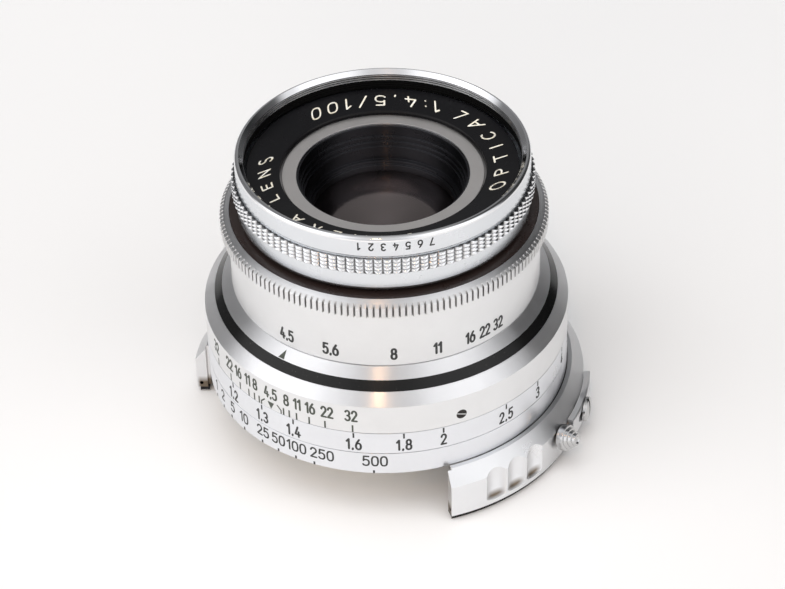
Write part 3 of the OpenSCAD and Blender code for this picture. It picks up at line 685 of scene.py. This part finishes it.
# The collar's corner colour is painted shade in its flutes and corners; its recess colour is painted shade on
# the flute floors and round the inside of its foot.
ALUMINIUM = turned_metal(
    "collar_aluminium", (0.86, 0.865, 0.875), rough=0.32, lines=0.25, brushed=0.97,
    corner_shade=(0.2, 0.15, 0.11), corner_shade_reach=0.8,
    recess_shade=((0.2, 0.16, 0.12), (COLLAR_R - 0.05, 0.5), (3.5, 1.3)),
)
# The knob's base colour, darker than the rim's chrome, is painted shade; its corner colour is painted shade
# between its steps.
KNOB_CHROME = turned_metal(
    "knob_chrome", (0.58, 0.58, 0.58), rough=0.14, lines=0.05, corner_shade=(0.02, 0.02, 0.02), corner_shade_reach=1.0,
)
FACE_SILVER = turned_metal("face_silver", (0.95, 0.92, 0.895), rough=0.42, lines=0.03)
# Plate steel, brass and dark steel carry painted shade in their corners.
STEEL = turned_metal("plate_steel", (0.6, 0.58, 0.56), rough=0.3, brushed=0.2, corner_shade=(0.06, 0.05, 0.04))
BRASS = turned_metal(
    "turned_brass", (0.66, 0.5, 0.27), rough=0.3, lines=0.4, brushed=0.3, corner_shade=(0.15, 0.1, 0.05),
)
DARK_STEEL = turned_metal("dark_steel", (0.045, 0.042, 0.04), rough=0.4, lines=0.2, corner_shade=(0.01, 0.01, 0.01))
BLADE = turned_metal("blade_steel", (0.07, 0.07, 0.075), rough=0.4, lines=0.2)
RETAINER_BLACK = turned_metal("retainer_black", (0.065, 0.065, 0.072), rough=0.3, lines=0.05, brushed=0.95)
GLOSS_BLACK = dark_coat("gloss_black", (0.004, 0.004, 0.004), rough=0.14, wear=0.5, lines=0.1, shine=0.3)
BLACK = dark_coat("anodised_black", (0.005, 0.005, 0.006), rough=0.3, wear=0.08, lines=0.1, shine=0.22)
WALL_BLACK = dark_coat("recess_black", (0.004, 0.004, 0.004), rough=0.6, shine=0.1)
BROWN_BLACK = dark_coat(
    "aged_black", (0.022, 0.014, 0.012), rough=0.3, worn=(0.1, 0.07, 0.06), wear=0.15, coat=0.1,
)
BARE_METAL = (0.4, 0.4, 0.39)
INK = ink("black_ink", (0.012, 0.013, 0.013), BARE_METAL, 0.35)
GREEN_INK = ink("green_black_ink", (0.035, 0.042, 0.032), BARE_METAL, 0.35)
CREAM_INK = ink("cream_ink", (0.82, 0.75, 0.58), (0.4, 0.36, 0.28), 0.25)
# The front glass's near-black tint is painted shade that darkens the inside of the lens seen through it.
FRONT_GLASS = coated_glass("front_glass", (0.1, 0.08, 0.08), (1.0, 0.87, 0.85), ior=3.0, rough=(0.14, 0.2))
CLEAR_GLASS = coated_glass("inner_glass", (0.93, 0.92, 0.91), (0.75, 0.72, 0.85))


# ---- Front ring, lettered ring and front cell ----


def knurl_profile(share, z):
    """Radius over the front ring's knurl: straight columns of blunt pyramids."""
    swell, row_depth, steepness = 1.3, 0.95, 1.2
    across = abs(2 * ((share * KNURL_TEETH) % 1) - 1)
    up = abs(2 * ((z - KNURL_Z) / (KNURL_H / KNURL_ROWS) % 1) - 1)
    crest = 1 - max(across**swell, row_depth * up**swell)
    return KNURL_R - KNURL_DEPTH * (1 - min(1, steepness * crest))


def front_ring():
    """Chrome ring with a knurled foot, and a groove over the knurl."""
    foot_r, neck_r, floor_z = 1.0, 22.3, FRONT_Z + 1
    groove_r, groove_z, slope_h, groove_h = RIM_R - 0.15, KNURL_Z + KNURL_H + 0.05, 0.05, 0.3
    seat_z = LIP_Z - SHOULDER_R
    section = [(RECESS_R, RECESS_TOP), (RECESS_R, floor_z), (neck_r, floor_z), (neck_r, FRONT_Z)]
    section += arc((RIM_R - foot_r, FRONT_Z + foot_r), foot_r, -80, -5, 8)
    section += [(RIM_R, KNURL_Z), (RIM_R, groove_z), (groove_r, groove_z + slope_h)]
    section += [(groove_r, groove_z + groove_h - slope_h), (RIM_R, groove_z + groove_h)]
    section += [(RIM_R, seat_z), (RECESS_R + 0.3, seat_z)]
    lathe("front_ring_body", section, SATIN_RIM, "barrel", ["front_ring"], round_r=0.04)
    front_lip()
    rows = KNURL_ROWS * 10
    heights = [KNURL_Z + KNURL_H * i / rows for i in range(rows + 1)]
    band("front_ring_knurl", KNURL_TEETH * 10, heights, knurl_profile, KNURLED, "barrel")
    recess_wall()
    rim_digits()


def front_lip():
    """Polished lip: a round shoulder outside and a chamfer down to the thread inside."""
    seat_r, seat_z = RECESS_R + 0.35, LIP_Z - SHOULDER_R - 0.02
    section = [(RECESS_R, RECESS_TOP), (seat_r, RECESS_TOP), (seat_r, seat_z)]
    section += arc((RIM_R - SHOULDER_R, seat_z), SHOULDER_R, 0, 80, 8)
    section += [(RIM_R - SHOULDER_R - 0.05, LIP_Z), (THREAD_R + 0.05, RECESS_TOP + 0.06)]
    lathe("front_ring_lip", section, CHROME, "barrel", round_r=0)


def recess_wall():
    """Blackened filter thread, with its first crests worn bright."""
    pitch, crest_h, worn = 0.42, 0.17, 3
    low = NAME_TOP - 0.3
    root_r = THREAD_R + 0.2
    crest_root_r = root_r + 0.05
    section = [(RECESS_R, low), (RECESS_R, RECESS_TOP), (root_r, RECESS_TOP), (root_r, low)]
    lathe("front_recess_wall", section, WALL_BLACK, "barrel", round_r=0.02)
    for i in range(int((RECESS_TOP - low) / pitch)):
        z = RECESS_TOP - 0.1 - i * pitch
        crest = [(THREAD_R, z - crest_h), (crest_root_r, z - crest_h), (crest_root_r, z), (THREAD_R, z)]
        look, slot = (BRIGHT, "polished_chrome") if i < worn else (WALL_BLACK, "black_anodised")
        lathe(f"front_thread_crest_{i + 1}", crest, look, "barrel", round_r=0)


def rim_digits():
    """Plain digits where such lenses carry a number, read from the front."""
    first_az, pitch_az, drop = 29.3, 4.6, 1.75
    shapes = [
        (first_az + i * pitch_az, text_shape(digit, 1.35, 0.26, 0.95, turn=True))
        for i, digit in enumerate("1234567")
    ]
    marks("front_ring_digits", Seat(RIM_R, LIP_Z - drop), shapes, INK, "barrel")


def name_ring():
    """Black dished ring with cream lettering that reads from the front."""
    section = [(NAME_BORE_R, NAME_Z), (NAME_R, NAME_Z), (NAME_R, NAME_TOP), (NAME_BORE_R, NAME_LOW)]
    lathe("name_ring_body", section, BLACK, "barrel", ["name_ring"])
    seat = Seat(NAME_R, NAME_TOP, (NAME_BORE_R - NAME_R, NAME_LOW - NAME_TOP))
    middle, stroke, squeeze = 3.0, 0.31, 1.35
    shapes = []
    for text, azimuth, height, gap, turn in (
        ("1:4,5/100", 222.5, 2.35, 3.0, False),
        ("OPTICAL", 144, 2.2, 5.0, False),
        ("CAMERA LENS", 355, 1.95, 5.4, True),
    ):
        polygons = text_shape(text, height, stroke, squeeze, gap, turn)
        shapes.append((azimuth, [[(x, y + middle) for x, y in polygon] for polygon in polygons]))
    marks("name_ring_letters", seat, shapes, CREAM_INK, "barrel")


def front_cell():
    """The silver face and the black stepped retainer round the front glass."""
    face_low, face_top = FACE_Z - 1.5, FACE_Z + 0.02
    face = [(FACE_BORE_R, face_low), (FACE_R, face_low), (FACE_R, face_top), (FACE_BORE_R, face_top)]
    lathe("front_cell_face", face, FACE_SILVER, "barrel", round_r=0.05)
    clear_r, seat_z = 12.25, foot("front_retainer")
    depths = ((14.3, 0.3), (14.0, 2.3), (13.7, 3.2), (13.4, 4.0), (12.65, 6.5), (clear_r, 7.1))
    shelves = [(radius, FACE_Z - depth) for radius, depth in depths]
    section = [(clear_r, seat_z), (FACE_BORE_R, seat_z), (FACE_BORE_R, shelves[0][1]), shelves[0]]
    for above, here in zip(shelves, shelves[1:]):
        section += [(above[0], here[1]), here]
    replaced = ["front_retainer"]
    lathe("front_retainer_tube", section, RETAINER_BLACK, "barrel", replaced, round_r=0.05)


# ---- Aperture ring ----


def held(value):
    """The value held between 0 and 1."""
    return min(1, max(0, value))


def grip_profile(share, z):
    """Radius over the aperture ring's teeth, which fade out at both ends."""
    gap_share, flank_share = 0.07, 0.1
    low_fade, top_fade = 0.15, 0.4
    low_taper, top_taper = 0.15, 0.7
    across = (share * GRIP_TEETH) % 1
    tooth = held((min(across, 1 - across) - gap_share) / flank_share)
    taper = low_taper * held((GRIP_Z + low_fade - z) / low_fade)
    taper += top_taper * held((z - GRIP_Z - GRIP_H + top_fade) / top_fade)
    return max(GRIP_ROOT_R, GRIP_R - GRIP_DEPTH * (1 - tooth) - taper)


def aperture_ring():
    """Silver ring with the stops on its wall, fine teeth round its top and a bright edge."""
    bore, edge = SHELL_R + 0.05, 0.25
    recess_r, recess_z = CAP_R + 0.05, CAP_Z - 0.05
    root_r = GRIP_ROOT_R - 0.02
    section = [
        (bore, APERTURE_Z), (APERTURE_R - edge, APERTURE_Z), (APERTURE_R, APERTURE_Z + edge),
        (APERTURE_R, GRIP_Z - 0.1), (root_r, GRIP_Z), (root_r, GRIP_Z + GRIP_H),
        (root_r - 0.1, APERTURE_TOP - 0.7), (recess_r, APERTURE_TOP - 0.1), (recess_r, recess_z),
        (bore, recess_z),
    ]
    lathe("aperture_ring_body", section, SILVER, "aperture_control", ["aperture_ring"])
    rows = 16
    heights = [GRIP_Z + GRIP_H * i / rows for i in range(rows + 1)]
    columns = GRIP_TEETH * 12
    band("aperture_ring_grip", columns, heights, grip_profile, GRIP, "aperture_control")
    aperture_edge(recess_r, root_r)
    stops = {"4,5": 0, "5,6": 18.2, "8": 41.2, "11": 57.2, "16": 70.2, "22": 76.65, "32": 83.1}
    shapes = [(azimuth, text_shape(text, 2.1, 0.42, 0.72, 1.5)) for text, azimuth in stops.items()]
    seat = Seat(APERTURE_R, APERTURE_Z + 2.6)
    marks("aperture_numbers", seat, shapes, INK, "aperture_control")


def aperture_edge(recess_r, root_r):
    """Bright sloping band between the teeth and the dark ring inside them."""
    outer_r, inner_r = GRIP_ROOT_R + 0.02, recess_r + 0.02
    low = GRIP_Z + GRIP_H - 0.2
    section = [
        (root_r - 0.1, low), (outer_r, low), (outer_r, APERTURE_TOP - 0.5),
        (recess_r + 0.1, APERTURE_TOP + 0.01), (inner_r, APERTURE_TOP - 0.05), (inner_r, APERTURE_TOP - 1),
    ]
    lathe("aperture_ring_edge", section, BRIGHT, "aperture_control", round_r=0.04)


def aperture_retainer():
    """Dark flat ring inside the aperture ring's edge."""
    section = [(SHELL_R, CAP_Z), (CAP_R, CAP_Z), (CAP_R, CAP_TOP), (SHELL_R, CAP_TOP)]
    lathe("aperture_retainer_ring", section, BROWN_BLACK, "barrel", ["aperture_retainer"])


# ---- Bevels, black band and depth-of-field skirt ----


def shell_bevels():
    """Bright bevel with the aperture index, over the glossy black band."""
    bevel_top = BEVEL_Z + 1.43
    section = [(SHELL_R, BEVEL_Z), (BEVEL_R, BEVEL_Z), (BEVEL_TOP_R, bevel_top), (SHELL_R, bevel_top)]
    lathe("inner_bevel", section, BRIGHT, "barrel", ["bevel_ring"])
    section = [(SHELL_R, BAND_Z), (BAND_R, BAND_Z), (BEVEL_R, BEVEL_Z), (SHELL_R, BEVEL_Z)]
    lathe("black_band_ring", section, GLOSS_BLACK, "barrel", ["black_band"], round_r=0.08)
    seat = Seat(BEVEL_R, BEVEL_Z, (BEVEL_TOP_R - BEVEL_R, bevel_top - BEVEL_Z))
    pointer = [[(-0.62, 0.15), (0.62, 0.15), (0.15, 1.85)]]
    marks("aperture_index", seat, [(0, pointer)], GREEN_INK, "barrel")


def skirt():
    """Upright wall for the depth scale, under the outer bevel."""
    step_r, step_z = RING_R - 0.12, CONE_Z + 0.02
    section = [(SHELL_R, SKIRT_Z), (RING_R, SKIRT_Z), (RING_R, CONE_Z), (step_r, step_z), (SHELL_R, step_z)]
    lathe("skirt_wall", section, SILVER, "barrel", ["scale_skirt"], round_r=0.05)
    section = [(SHELL_R, CONE_Z), (RING_R, CONE_Z), (BAND_R, BAND_Z), (SHELL_R, BAND_Z)]
    lathe("outer_bevel", section, BRIGHT, "barrel", round_r=0.05)
    depth_scale()


def depth_scale():
    """Depth-of-field lines at angles in proportion to the stop, with their numbers, and the index."""
    degrees_per_stop = 0.866
    low, high = SKIRT_Z + 0.06, SKIRT_Z + 1.55
    lines = []
    for stop in (5.6, 8, 11, 16, 22, 32):
        for side in (-1, 1):
            lines.append((side * stop * degrees_per_stop, tick(low, high, 0.3)))
    for side in (-1, 1):
        bent = [(0, low + 0.1), (0, low + 0.75), (-side * 0.75, high)]
        lines.append((side * 4.5 * degrees_per_stop, stroke_shape(bent, 0.26)))
    lines.append((0, [[(0, low), (0.7, high), (-0.7, high)]]))
    marks("depth_lines", Seat(RING_R, 0), lines, GREEN_INK, "barrel")
    numbers = [
        ("32", -29), ("22", -19.6), ("16", -14.6), ("11", -9.85), ("8", -6.45), ("4,5", 0),
        ("8", 6), ("11", 9.9), ("16", 14.3), ("22", 19.8), ("32", 27.3),
    ]
    shapes = [(azimuth, text_shape(text, 2.15, 0.38, 0.7, 1.4)) for text, azimuth in numbers]
    marks("depth_numbers", Seat(RING_R, SKIRT_Z + 3.54), shapes, GREEN_INK, "barrel")


# ---- Distance ring and speed ring ----


def distance_ring():
    """Focusing ring. A distance sits short of infinity by an angle in proportion to its reciprocal."""
    bore = 22.0
    section = [(bore, DISTANCE_Z), (RING_R, DISTANCE_Z), (RING_R, DISTANCE_TOP), (bore, DISTANCE_TOP)]
    body, slot = "distance_control", "satin_chrome"
    lathe("distance_ring_body", section, BLUE_SILVER, body, ["distance_ring"], round_r=0.09)
    infinity_az, spread = 166.0, 221.0
    line = tick(DISTANCE_TOP - 1.15, DISTANCE_TOP - 0.1, 0.3)
    ticks, numbers = [], []
    for metres in (1.2, 1.3, 1.4, 1.6, 1.8, 2, 2.5, 3, 4, 5, 6, 8, 10, 15, 20):
        azimuth = infinity_az - spread / metres
        label = f"{metres:g}".replace(".", ",")
        ticks.append((azimuth, line))
        numbers.append((azimuth, text_shape(label, 2.1, 0.37, 0.74, 1.8)))
    numbers.append((infinity_az, infinity_shape()))
    ticks.append((infinity_az, line))
    marks("distance_ticks", Seat(RING_R, 0), ticks, INK, body)
    marks("distance_numbers", Seat(RING_R, DISTANCE_Z + 1.77), numbers, INK, body)


def infinity_shape():
    """Two ovals side by side."""
    half_w, half_h = 1.08, 0.76
    ovals = [bow(side * half_w, 0, half_w, half_h, 0, 360) for side in (-1, 1)]
    return [polygon for oval in ovals for polygon in stroke_shape(oval, 0.32)]


def speed_ring():
    """Lowest ring, with the shutter speeds, each given the azimuth of its line and of its number."""
    bore, skirt_w, skirt_h, edge = 29.1, 1.2, 0.6, 0.15
    section = [
        (bore, SPEED_Z + skirt_h), (RING_R - skirt_w, SPEED_Z + skirt_h), (RING_R - skirt_w, SPEED_Z),
        (RING_R - edge, SPEED_Z), (RING_R, SPEED_Z + edge), (RING_R, SPEED_TOP), (bore, SPEED_TOP),
    ]
    body, slot = "speed_control", "satin_chrome"
    lathe("speed_ring_body", section, BLUE_SILVER, body, ["speed_ring"], round_r=0.09)
    speeds = [
        ("1", -32, -32), ("2", -26.0, -26.3), ("5", -20.4, -19.5), ("10", -13.1, -13.1), ("25", -4.6, -4.2),
        ("50", 2.0, 2.1), ("100", 8.5, 8.8), ("250", 14.9, 17.5), ("500", 33.8, 34.2),
    ]
    line = tick(SPEED_Z + 0.12, SPEED_Z + 0.75, 0.34)
    ticks = [(azimuth, line) for _, azimuth, _ in speeds]
    numbers = [(azimuth, text_shape(text, 2.0, 0.32, 0.98, 1.45)) for text, _, azimuth in speeds]
    marks("speed_ticks", Seat(RING_R, 0), ticks, INK, body)
    marks("speed_numbers", Seat(RING_R, SPEED_Z + 2.8), numbers, INK, body)


# ---- Collar and latch ----


def collar():
    """C-shaped collar with three finger flutes in each wing, over a black ring that is painted shadow in the
    gap above the plate.
    """
    edge_r, lip_r = COLLAR_BORE_R + 0.3, RING_R + 0.15
    shoulder = COLLAR_TOP - COLLAR_BEVEL
    bottom = PLATE_T + 0.4
    gap_r, gap_low = COLLAR_BORE_R + 0.2, PLATE_T / 2
    gap = [(gap_r, gap_low), (PLATE_R, gap_low), (PLATE_R, bottom), (gap_r, bottom)]
    gap_span = (WINDOW_HALF + 0.2, 360 - WINDOW_HALF - 0.2)
    # Painted shadow: a black ring in the gap between the collar and the plate.
    lathe("collar_gap_shadow", gap, BLACK, "collar", round_r=0, span=gap_span)
    section = [
        (COLLAR_BORE_R, bottom), (COLLAR_R, bottom), (COLLAR_R, shoulder), (edge_r, COLLAR_TOP),
        (lip_r, COLLAR_TOP), (lip_r, COLLAR_TOP - 0.5), (COLLAR_BORE_R, COLLAR_TOP - 0.9),
    ]
    span = (WINDOW_HALF, 360 - WINDOW_HALF)
    body = lathe(
        "collar_wall", section, ALUMINIUM, "collar", ["wing_collar"], round_r=0, span=span,
    )
    body.modifiers.clear()
    carve(body, [cutter for side in (-1, 1) for cutter in wing_cutters(side)], 0.05)


def wing_cutters(side):
    """What one wing is cut with: its flutes, the notch inside its end and a pin hole."""
    flute_r, flute_depth, flute_floor = 3.4, 0.7, 2.3
    first_az, pitch_az = 70.15, 7.2
    notch_w, notch_r = 1.4, RING_R + 0.4
    pin_r, pin_length, pin_place = 0.35, 2.2, (-side * 1.0, -33.9, 1.9)
    scoop = [(flute_r - 0.6, -0.45), (flute_r - 0.2, -0.3), (flute_r, 0), (flute_r, COLLAR_TOP)]
    spot = Matrix.Translation((0, flute_depth - COLLAR_R - flute_r, flute_floor))
    cutters = [profile_cutter(scoop, turned_to(side * (first_az + i * pitch_az)) @ spot) for i in range(3)]
    end = turned_to(side * WINDOW_HALF)
    notch = Matrix.Translation((0, -notch_r, COLLAR_TOP / 2))
    cutters.append(block_cutter((notch_w, notch_w, 2 * COLLAR_TOP), end @ notch))
    hole = Matrix.Translation(pin_place) @ Matrix.Rotation(side * math.pi / 2, 4, "Y")
    cutters.append(rod_cutter(pin_r, pin_length, end @ hole, segments=24))
    return cutters


def rear_plate():
    """The plate under the collar, open between the wings; its rim is darkened as painted shade, so that its
    edge shows as a dark shadow line.
    """
    land_r, window_back, step = 20.0, 4.0, 0.3
    step_z = PLATE_T / 2
    section = [
        (land_r, 0), (PLATE_R, 0), (PLATE_R, step_z), (PLATE_R - step, step_z), (PLATE_R - step, PLATE_T),
        (land_r, PLATE_T),
    ]
    # The rim's dark steel is painted shade: it stands for the shadow line under the collar.
    plate = lathe("rear_plate_rim", section, DARK_STEEL, "collar", round_r=0)
    plate.modifiers.clear()
    half_w = PLATE_R * math.sin(math.radians(WINDOW_HALF)) + 0.05
    depth = PLATE_R + 1 - window_back
    window = block_cutter((2 * half_w, depth, 4), Matrix.Translation((0, -window_back - depth / 2, 0)))
    carve(plate, [window], 0.05)
    low, high, outer_r = 0.002, PLATE_T - 0.002, land_r + 0.01
    section = [(THROAT_R, low), (outer_r, low), (outer_r, high), (THROAT_R, high)]
    lathe("rear_plate_throat", section, STEEL, "collar", ["base_plate"], round_r=0.05)


def latch():
    """Curved plate that slides along the collar on a slot, with its knob, tongue and guide screw."""
    low, high = LATCH_Z - LATCH_HALF_H, LATCH_Z + LATCH_HALF_H
    inner, edge = COLLAR_R + 0.05, 0.2
    knob_room, travel, slot_r, slot_cuts = 4.6, 4, 0.85, 8
    section = [
        (inner, low), (LATCH_R - edge, low), (LATCH_R, low + edge), (LATCH_R, high - edge),
        (LATCH_R - edge, high), (inner, high),
    ]
    look, slot = ALUMINIUM, "satin_aluminium"
    span = (LATCH_AZ + knob_room, LATCH_END_AZ)
    plate = lathe("latch_plate", section, look, "latch", ["lock_pad"], round_r=0, span=span)
    plate.modifiers.clear()
    start = Matrix.Translation((0, -COLLAR_R + 0.5, LATCH_Z))
    cutters = []
    for i in range(slot_cuts + 1):
        place = turned_to(GUIDE_AZ - travel * i / slot_cuts) @ start
        cutters.append(rod_cutter(slot_r, 3, place @ Matrix.Rotation(math.pi / 2, 4, "X"), segments=32))
    carve(plate, cutters, 0.08)
    tongue_r, tongue_low, tongue_high = inner + 0.15, LATCH_Z - 1.2, LATCH_Z + 1.2
    section = [(inner, tongue_low), (tongue_r, tongue_low), (tongue_r, tongue_high), (inner, tongue_high)]
    span = (LATCH_AZ - 2, LATCH_AZ + knob_room + 0.5)
    lathe("latch_tongue", section, look, "latch", round_r=0.02, span=span)
    knob()
    guide_screw()


# A stud's section starts this far from its axis, so that it stays a closed loop.
AXIS_GAP = 0.02


def outward(azimuth, z):
    """Frame of a stud on the collar: its own Z axis points away from the optical axis."""
    return turned_to(azimuth) @ Matrix.Translation((0, 0, z)) @ Matrix.Rotation(math.pi / 2, 4, "X")


def stud(name, section, place, material, body, replaces, round_r=0.05):
    """A small turned part on its own axis."""
    section = rounded(section, round_r)
    columns = 64
    rows = len(section)
    verts, faces = [], []
    for j in range(columns):
        a = 2 * math.pi * j / columns
        verts.extend((place @ Vector((r * math.cos(a), r * math.sin(a), z))) * MM for r, z in section)
    for j in range(columns):
        near, far = j * rows, (j + 1) % columns * rows
        faces.extend((near + i, near + (i + 1) % rows, far + (i + 1) % rows, far + i) for i in range(rows))
    return weighted(piece(name, verts, faces, material, body, replaces))


def knob():
    """Stepped cone with a small recess in its crown, leaning a little towards the front, on a stem."""
    widest, first_h, step_h, step_r, steps = 2.3, 1.3, 0.58, 0.4, 4
    edge, rise = 0.08, 0.4
    crown = first_h + (steps - 1) * step_h
    section = [(AXIS_GAP, 0), (widest, 0), (widest, first_h - edge)]
    for i in range(1, steps):
        radius = widest - i * step_r
        section += [(radius, first_h + (i - 1) * step_h), (radius, first_h + i * step_h - edge)]
    section += [(0.75, crown), (0.5, crown - 0.25), (AXIS_GAP, crown - 0.3)]
    place = turned_to(LATCH_AZ) @ Matrix.Translation((0, -KNOB_FOOT_R, LATCH_Z + rise))
    place = place @ Matrix.Rotation(math.radians(90 - KNOB_LEAN), 4, "X")
    stud("latch_knob", section, place, KNOB_CHROME, "latch", ["lock_knob"])
    stem_r, inner_end, outer_end = 0.7, COLLAR_BORE_R - 0.3, KNOB_FOOT_R + 0.7
    stem = [(AXIS_GAP, inner_end), (stem_r, inner_end), (stem_r, outer_end), (AXIS_GAP, outer_end)]
    stud("latch_stem", stem, outward(LATCH_AZ, LATCH_Z), KNOB_CHROME, "latch", [])


def guide_screw():
    """Domed slotted screw that the latch plate slides on."""
    shank_r, head_r, head_z, wall_h, dome_h = 0.8, 2.2, LATCH_R + 0.05, 0.55, 0.4
    section = [(AXIS_GAP, COLLAR_BORE_R), (shank_r, COLLAR_BORE_R), (shank_r, head_z), (head_r, head_z)]
    for turned in range(0, 90, 15):
        a = math.radians(turned)
        section.append((head_r * math.cos(a), head_z + wall_h + dome_h * math.sin(a)))
    section.append((AXIS_GAP, head_z + wall_h + dome_h))
    place = outward(GUIDE_AZ, LATCH_Z)
    replaced = ["lock_guide_screw"]
    screw = stud("latch_guide_screw", section, place, KNOB_CHROME, "collar", replaced)
    screw.modifiers.clear()
    slit = block_cutter((0.5, 6, 1.4), place @ Matrix.Translation((0, 0, head_z + 1.0)))
    carve(screw, [slit], 0.05)


def skirt_screws():
    """Slotted set screws that hold the skirt; their faces stand just proud of its wall."""
    first_az, count, tilt = 61.4, 3, math.radians(-20)
    radius, inner_end, outer_end = 0.95, 24, RING_R + 0.02
    slit_size = (2.4, 0.18, 0.8)
    section = [(AXIS_GAP, inner_end), (radius, inner_end), (radius, outer_end), (AXIS_GAP, outer_end)]
    for i in range(count):
        place = outward(first_az + i * 360 / count, SKIRT_Z + 1.85)
        replaced = ["skirt_screws"] if i == 0 else []
        name = f"skirt_screw_{i + 1}"
        screw = stud(name, section, place, DARK_STEEL, "barrel", replaced, 0.08)
        screw.modifiers.clear()
        across = place @ Matrix.Rotation(tilt, 4, "Z") @ Matrix.Translation((0, 0, RING_R))
        carve(screw, [block_cutter(slit_size, across)], 0.03)


# ---- Carried-over CAD nodes ----

NODE_LOOKS = {
    "satin_aluminium": ALUMINIUM, "satin_chrome": SILVER, "polished_chrome": CHROME, "plate_steel": STEEL,
    "plain_aluminium": SILVER, "tube_brass": BRASS, "dark_steel": DARK_STEEL, "black_anodised": BLACK,
    "black_enamel": GLOSS_BLACK, "blade_steel": BLADE, "front_glass": FRONT_GLASS, "clear_glass": CLEAR_GLASS,
}


def paint_cad_nodes():
    """Each CAD node takes the look of its material slot."""
    for part in frame["record"]["subparts"]:
        mesh = frame["nodes"][part["node"]].data
        mesh.materials.clear()
        mesh.materials.append(NODE_LOOKS[part["material_slot"]])


# ---- Studio ----

CAMERA_AZ = 39.0
CAMERA_EL = 38.26
CAMERA_DISTANCE = 482.2
CAMERA_ROLL = -1.52
CAMERA_LENS = 126.53
CAMERA_AIM = (0.81, 0.66, 23.3)


def direction(azimuth, elevation):
    """Unit vector from the lens towards an azimuth and an elevation."""
    level = math.radians(elevation)
    return turned_to(azimuth) @ Vector((0, -math.cos(level), math.sin(level)))


def camera():
    """The photo's own view: its angles, distance and focal length."""
    data = bpy.data.cameras.new("camera")
    data.lens = CAMERA_LENS
    data.sensor_width = 36
    data.clip_start = 0.01
    data.clip_end = 20
    obj = linked("camera", data)
    back = direction(CAMERA_AZ, CAMERA_EL)
    obj.location = (Vector(CAMERA_AIM) + back * CAMERA_DISTANCE) * MM
    obj.rotation_mode = "QUATERNION"
    roll = Quaternion((0, 0, 1), math.radians(CAMERA_ROLL))
    obj.rotation_quaternion = (-back).to_track_quat("-Z", "Y") @ roll
    bpy.context.scene.camera = obj


def area_light(
    name, azimuth, elevation, distance, size, power, color=(1, 1, 1), aim=(0, 0, 25), mirrored=False
):
    """A softbox that faces the lens. Only a mirrored one shows in the metal."""
    data = bpy.data.lights.new(name, "AREA")
    data.shape = "RECTANGLE"
    data.size, data.size_y = size[0] * MM, size[1] * MM
    data.energy = power
    data.color = color
    obj = linked(name, data)
    away = direction(azimuth, elevation)
    obj.location = (Vector(aim) + away * distance) * MM
    obj.rotation_mode = "QUATERNION"
    obj.rotation_quaternion = (-away).to_track_quat("-Z", "Y")
    obj.visible_glossy = mirrored


def lights():
    """A large box overhead, a low warm fill in front, and the small warm lamp that glints on the bevels."""
    area_light("top_box", CAMERA_AZ - 60, 78, 1100, (1000, 1000), 5.1)
    area_light("low_fill", CAMERA_AZ - 12, 20, 500, (400, 120), 0.7, (1, 0.9, 0.82), (0, -10, 0))
    area_light("lamp", CAMERA_AZ - 7, 50, 700, (40, 40), 0.2, (1.0, 0.55, 0.25), mirrored=True)


def surroundings():
    """What the metal mirrors: a softbox each side of the camera, darker corners and a pale backdrop.

    Each shade is given at its angle round from the camera.
    """
    shades = (
        (-180, 0.32), (-150, 0.22), (-138, 0.16), (-110, 0.22), (-98, 1.1), (-88, 1.6), (-60, 1.5),
        (-38, 1.15), (-18, 0.75), (8, 0.72), (35, 1.2), (66, 1.35), (84, 0.9), (97, 0.1), (122, 0.03),
        (140, 0.08), (155, 0.22), (180, 0.32),
    )
    blue_cast = 1.015
    overhead, overhead_low, overhead_high = 0.6, 0.88, 0.98
    world = bpy.data.worlds.new("studio")
    bpy.context.scene.world = world
    world.use_nodes = True
    tree = world.node_tree
    spot = tree.nodes.new("ShaderNodeTexCoord").outputs["Generated"]
    turn = tree.nodes.new("ShaderNodeVectorRotate")
    turn.rotation_type = "Z_AXIS"
    turn.inputs["Angle"].default_value = -math.radians(CAMERA_AZ)
    tree.links.new(spot, turn.inputs["Vector"])
    x, y, z = fed(tree.nodes.new("ShaderNodeSeparateXYZ"), turn.outputs[0]).outputs
    angle = math_of(tree, "ARCTAN2", x, math_of(tree, "MULTIPLY", y, -1))
    ramp = fed(tree.nodes.new("ShaderNodeValToRGB"), span_to(tree, angle, -math.pi, math.pi, 0, 1))
    ramp.color_ramp.interpolation = "EASE"
    stops = ramp.color_ramp.elements
    for turned, shade in shades[1:-1]:
        stops.new(turned / 360 + 0.5)
    for stop, (turned, shade) in zip(stops, shades):
        stop.color = (shade, shade, shade * blue_cast, 1)
    high = span_to(tree, z, overhead_low, overhead_high, 0, 1)
    shade = blended(tree, high, ramp.outputs["Color"], (overhead, overhead, overhead))
    tree.links.new(shade, tree.nodes["Background"].inputs["Color"])


def studio_floor():
    """Plain pale paper just under the lens."""
    half, gap = 2.5, 0.0001
    material, tree, shader = nodes_of("paper")
    spot = own_place(tree)
    cloud = clouded(tree, noise(tree, spot, 6, 2), 0, 1)
    shade = blended(tree, cloud, (0.9, 0.897, 0.893), (0.915, 0.912, 0.908))
    tree.links.new(shade, shader.inputs["Base Color"])
    shader.inputs["Roughness"].default_value = 0.6
    mesh = bpy.data.meshes.new("floor")
    corners = [(-half, -half, 0), (half, -half, 0), (half, half, 0), (-half, half, 0)]
    mesh.from_pydata(corners, [], [(0, 1, 2, 3)])
    mesh.materials.append(material)
    obj = linked("floor", mesh)
    obj.location.z = cad_box[0][2] - gap


front_ring()
name_ring()
front_cell()
aperture_ring()
aperture_retainer()
shell_bevels()
skirt()
distance_ring()
speed_ring()
collar()
rear_plate()
latch()
skirt_screws()
paint_cad_nodes()
camera()
surroundings()
studio_floor()
lights()
scene = bpy.context.scene
scene.view_settings.view_transform = "Standard"
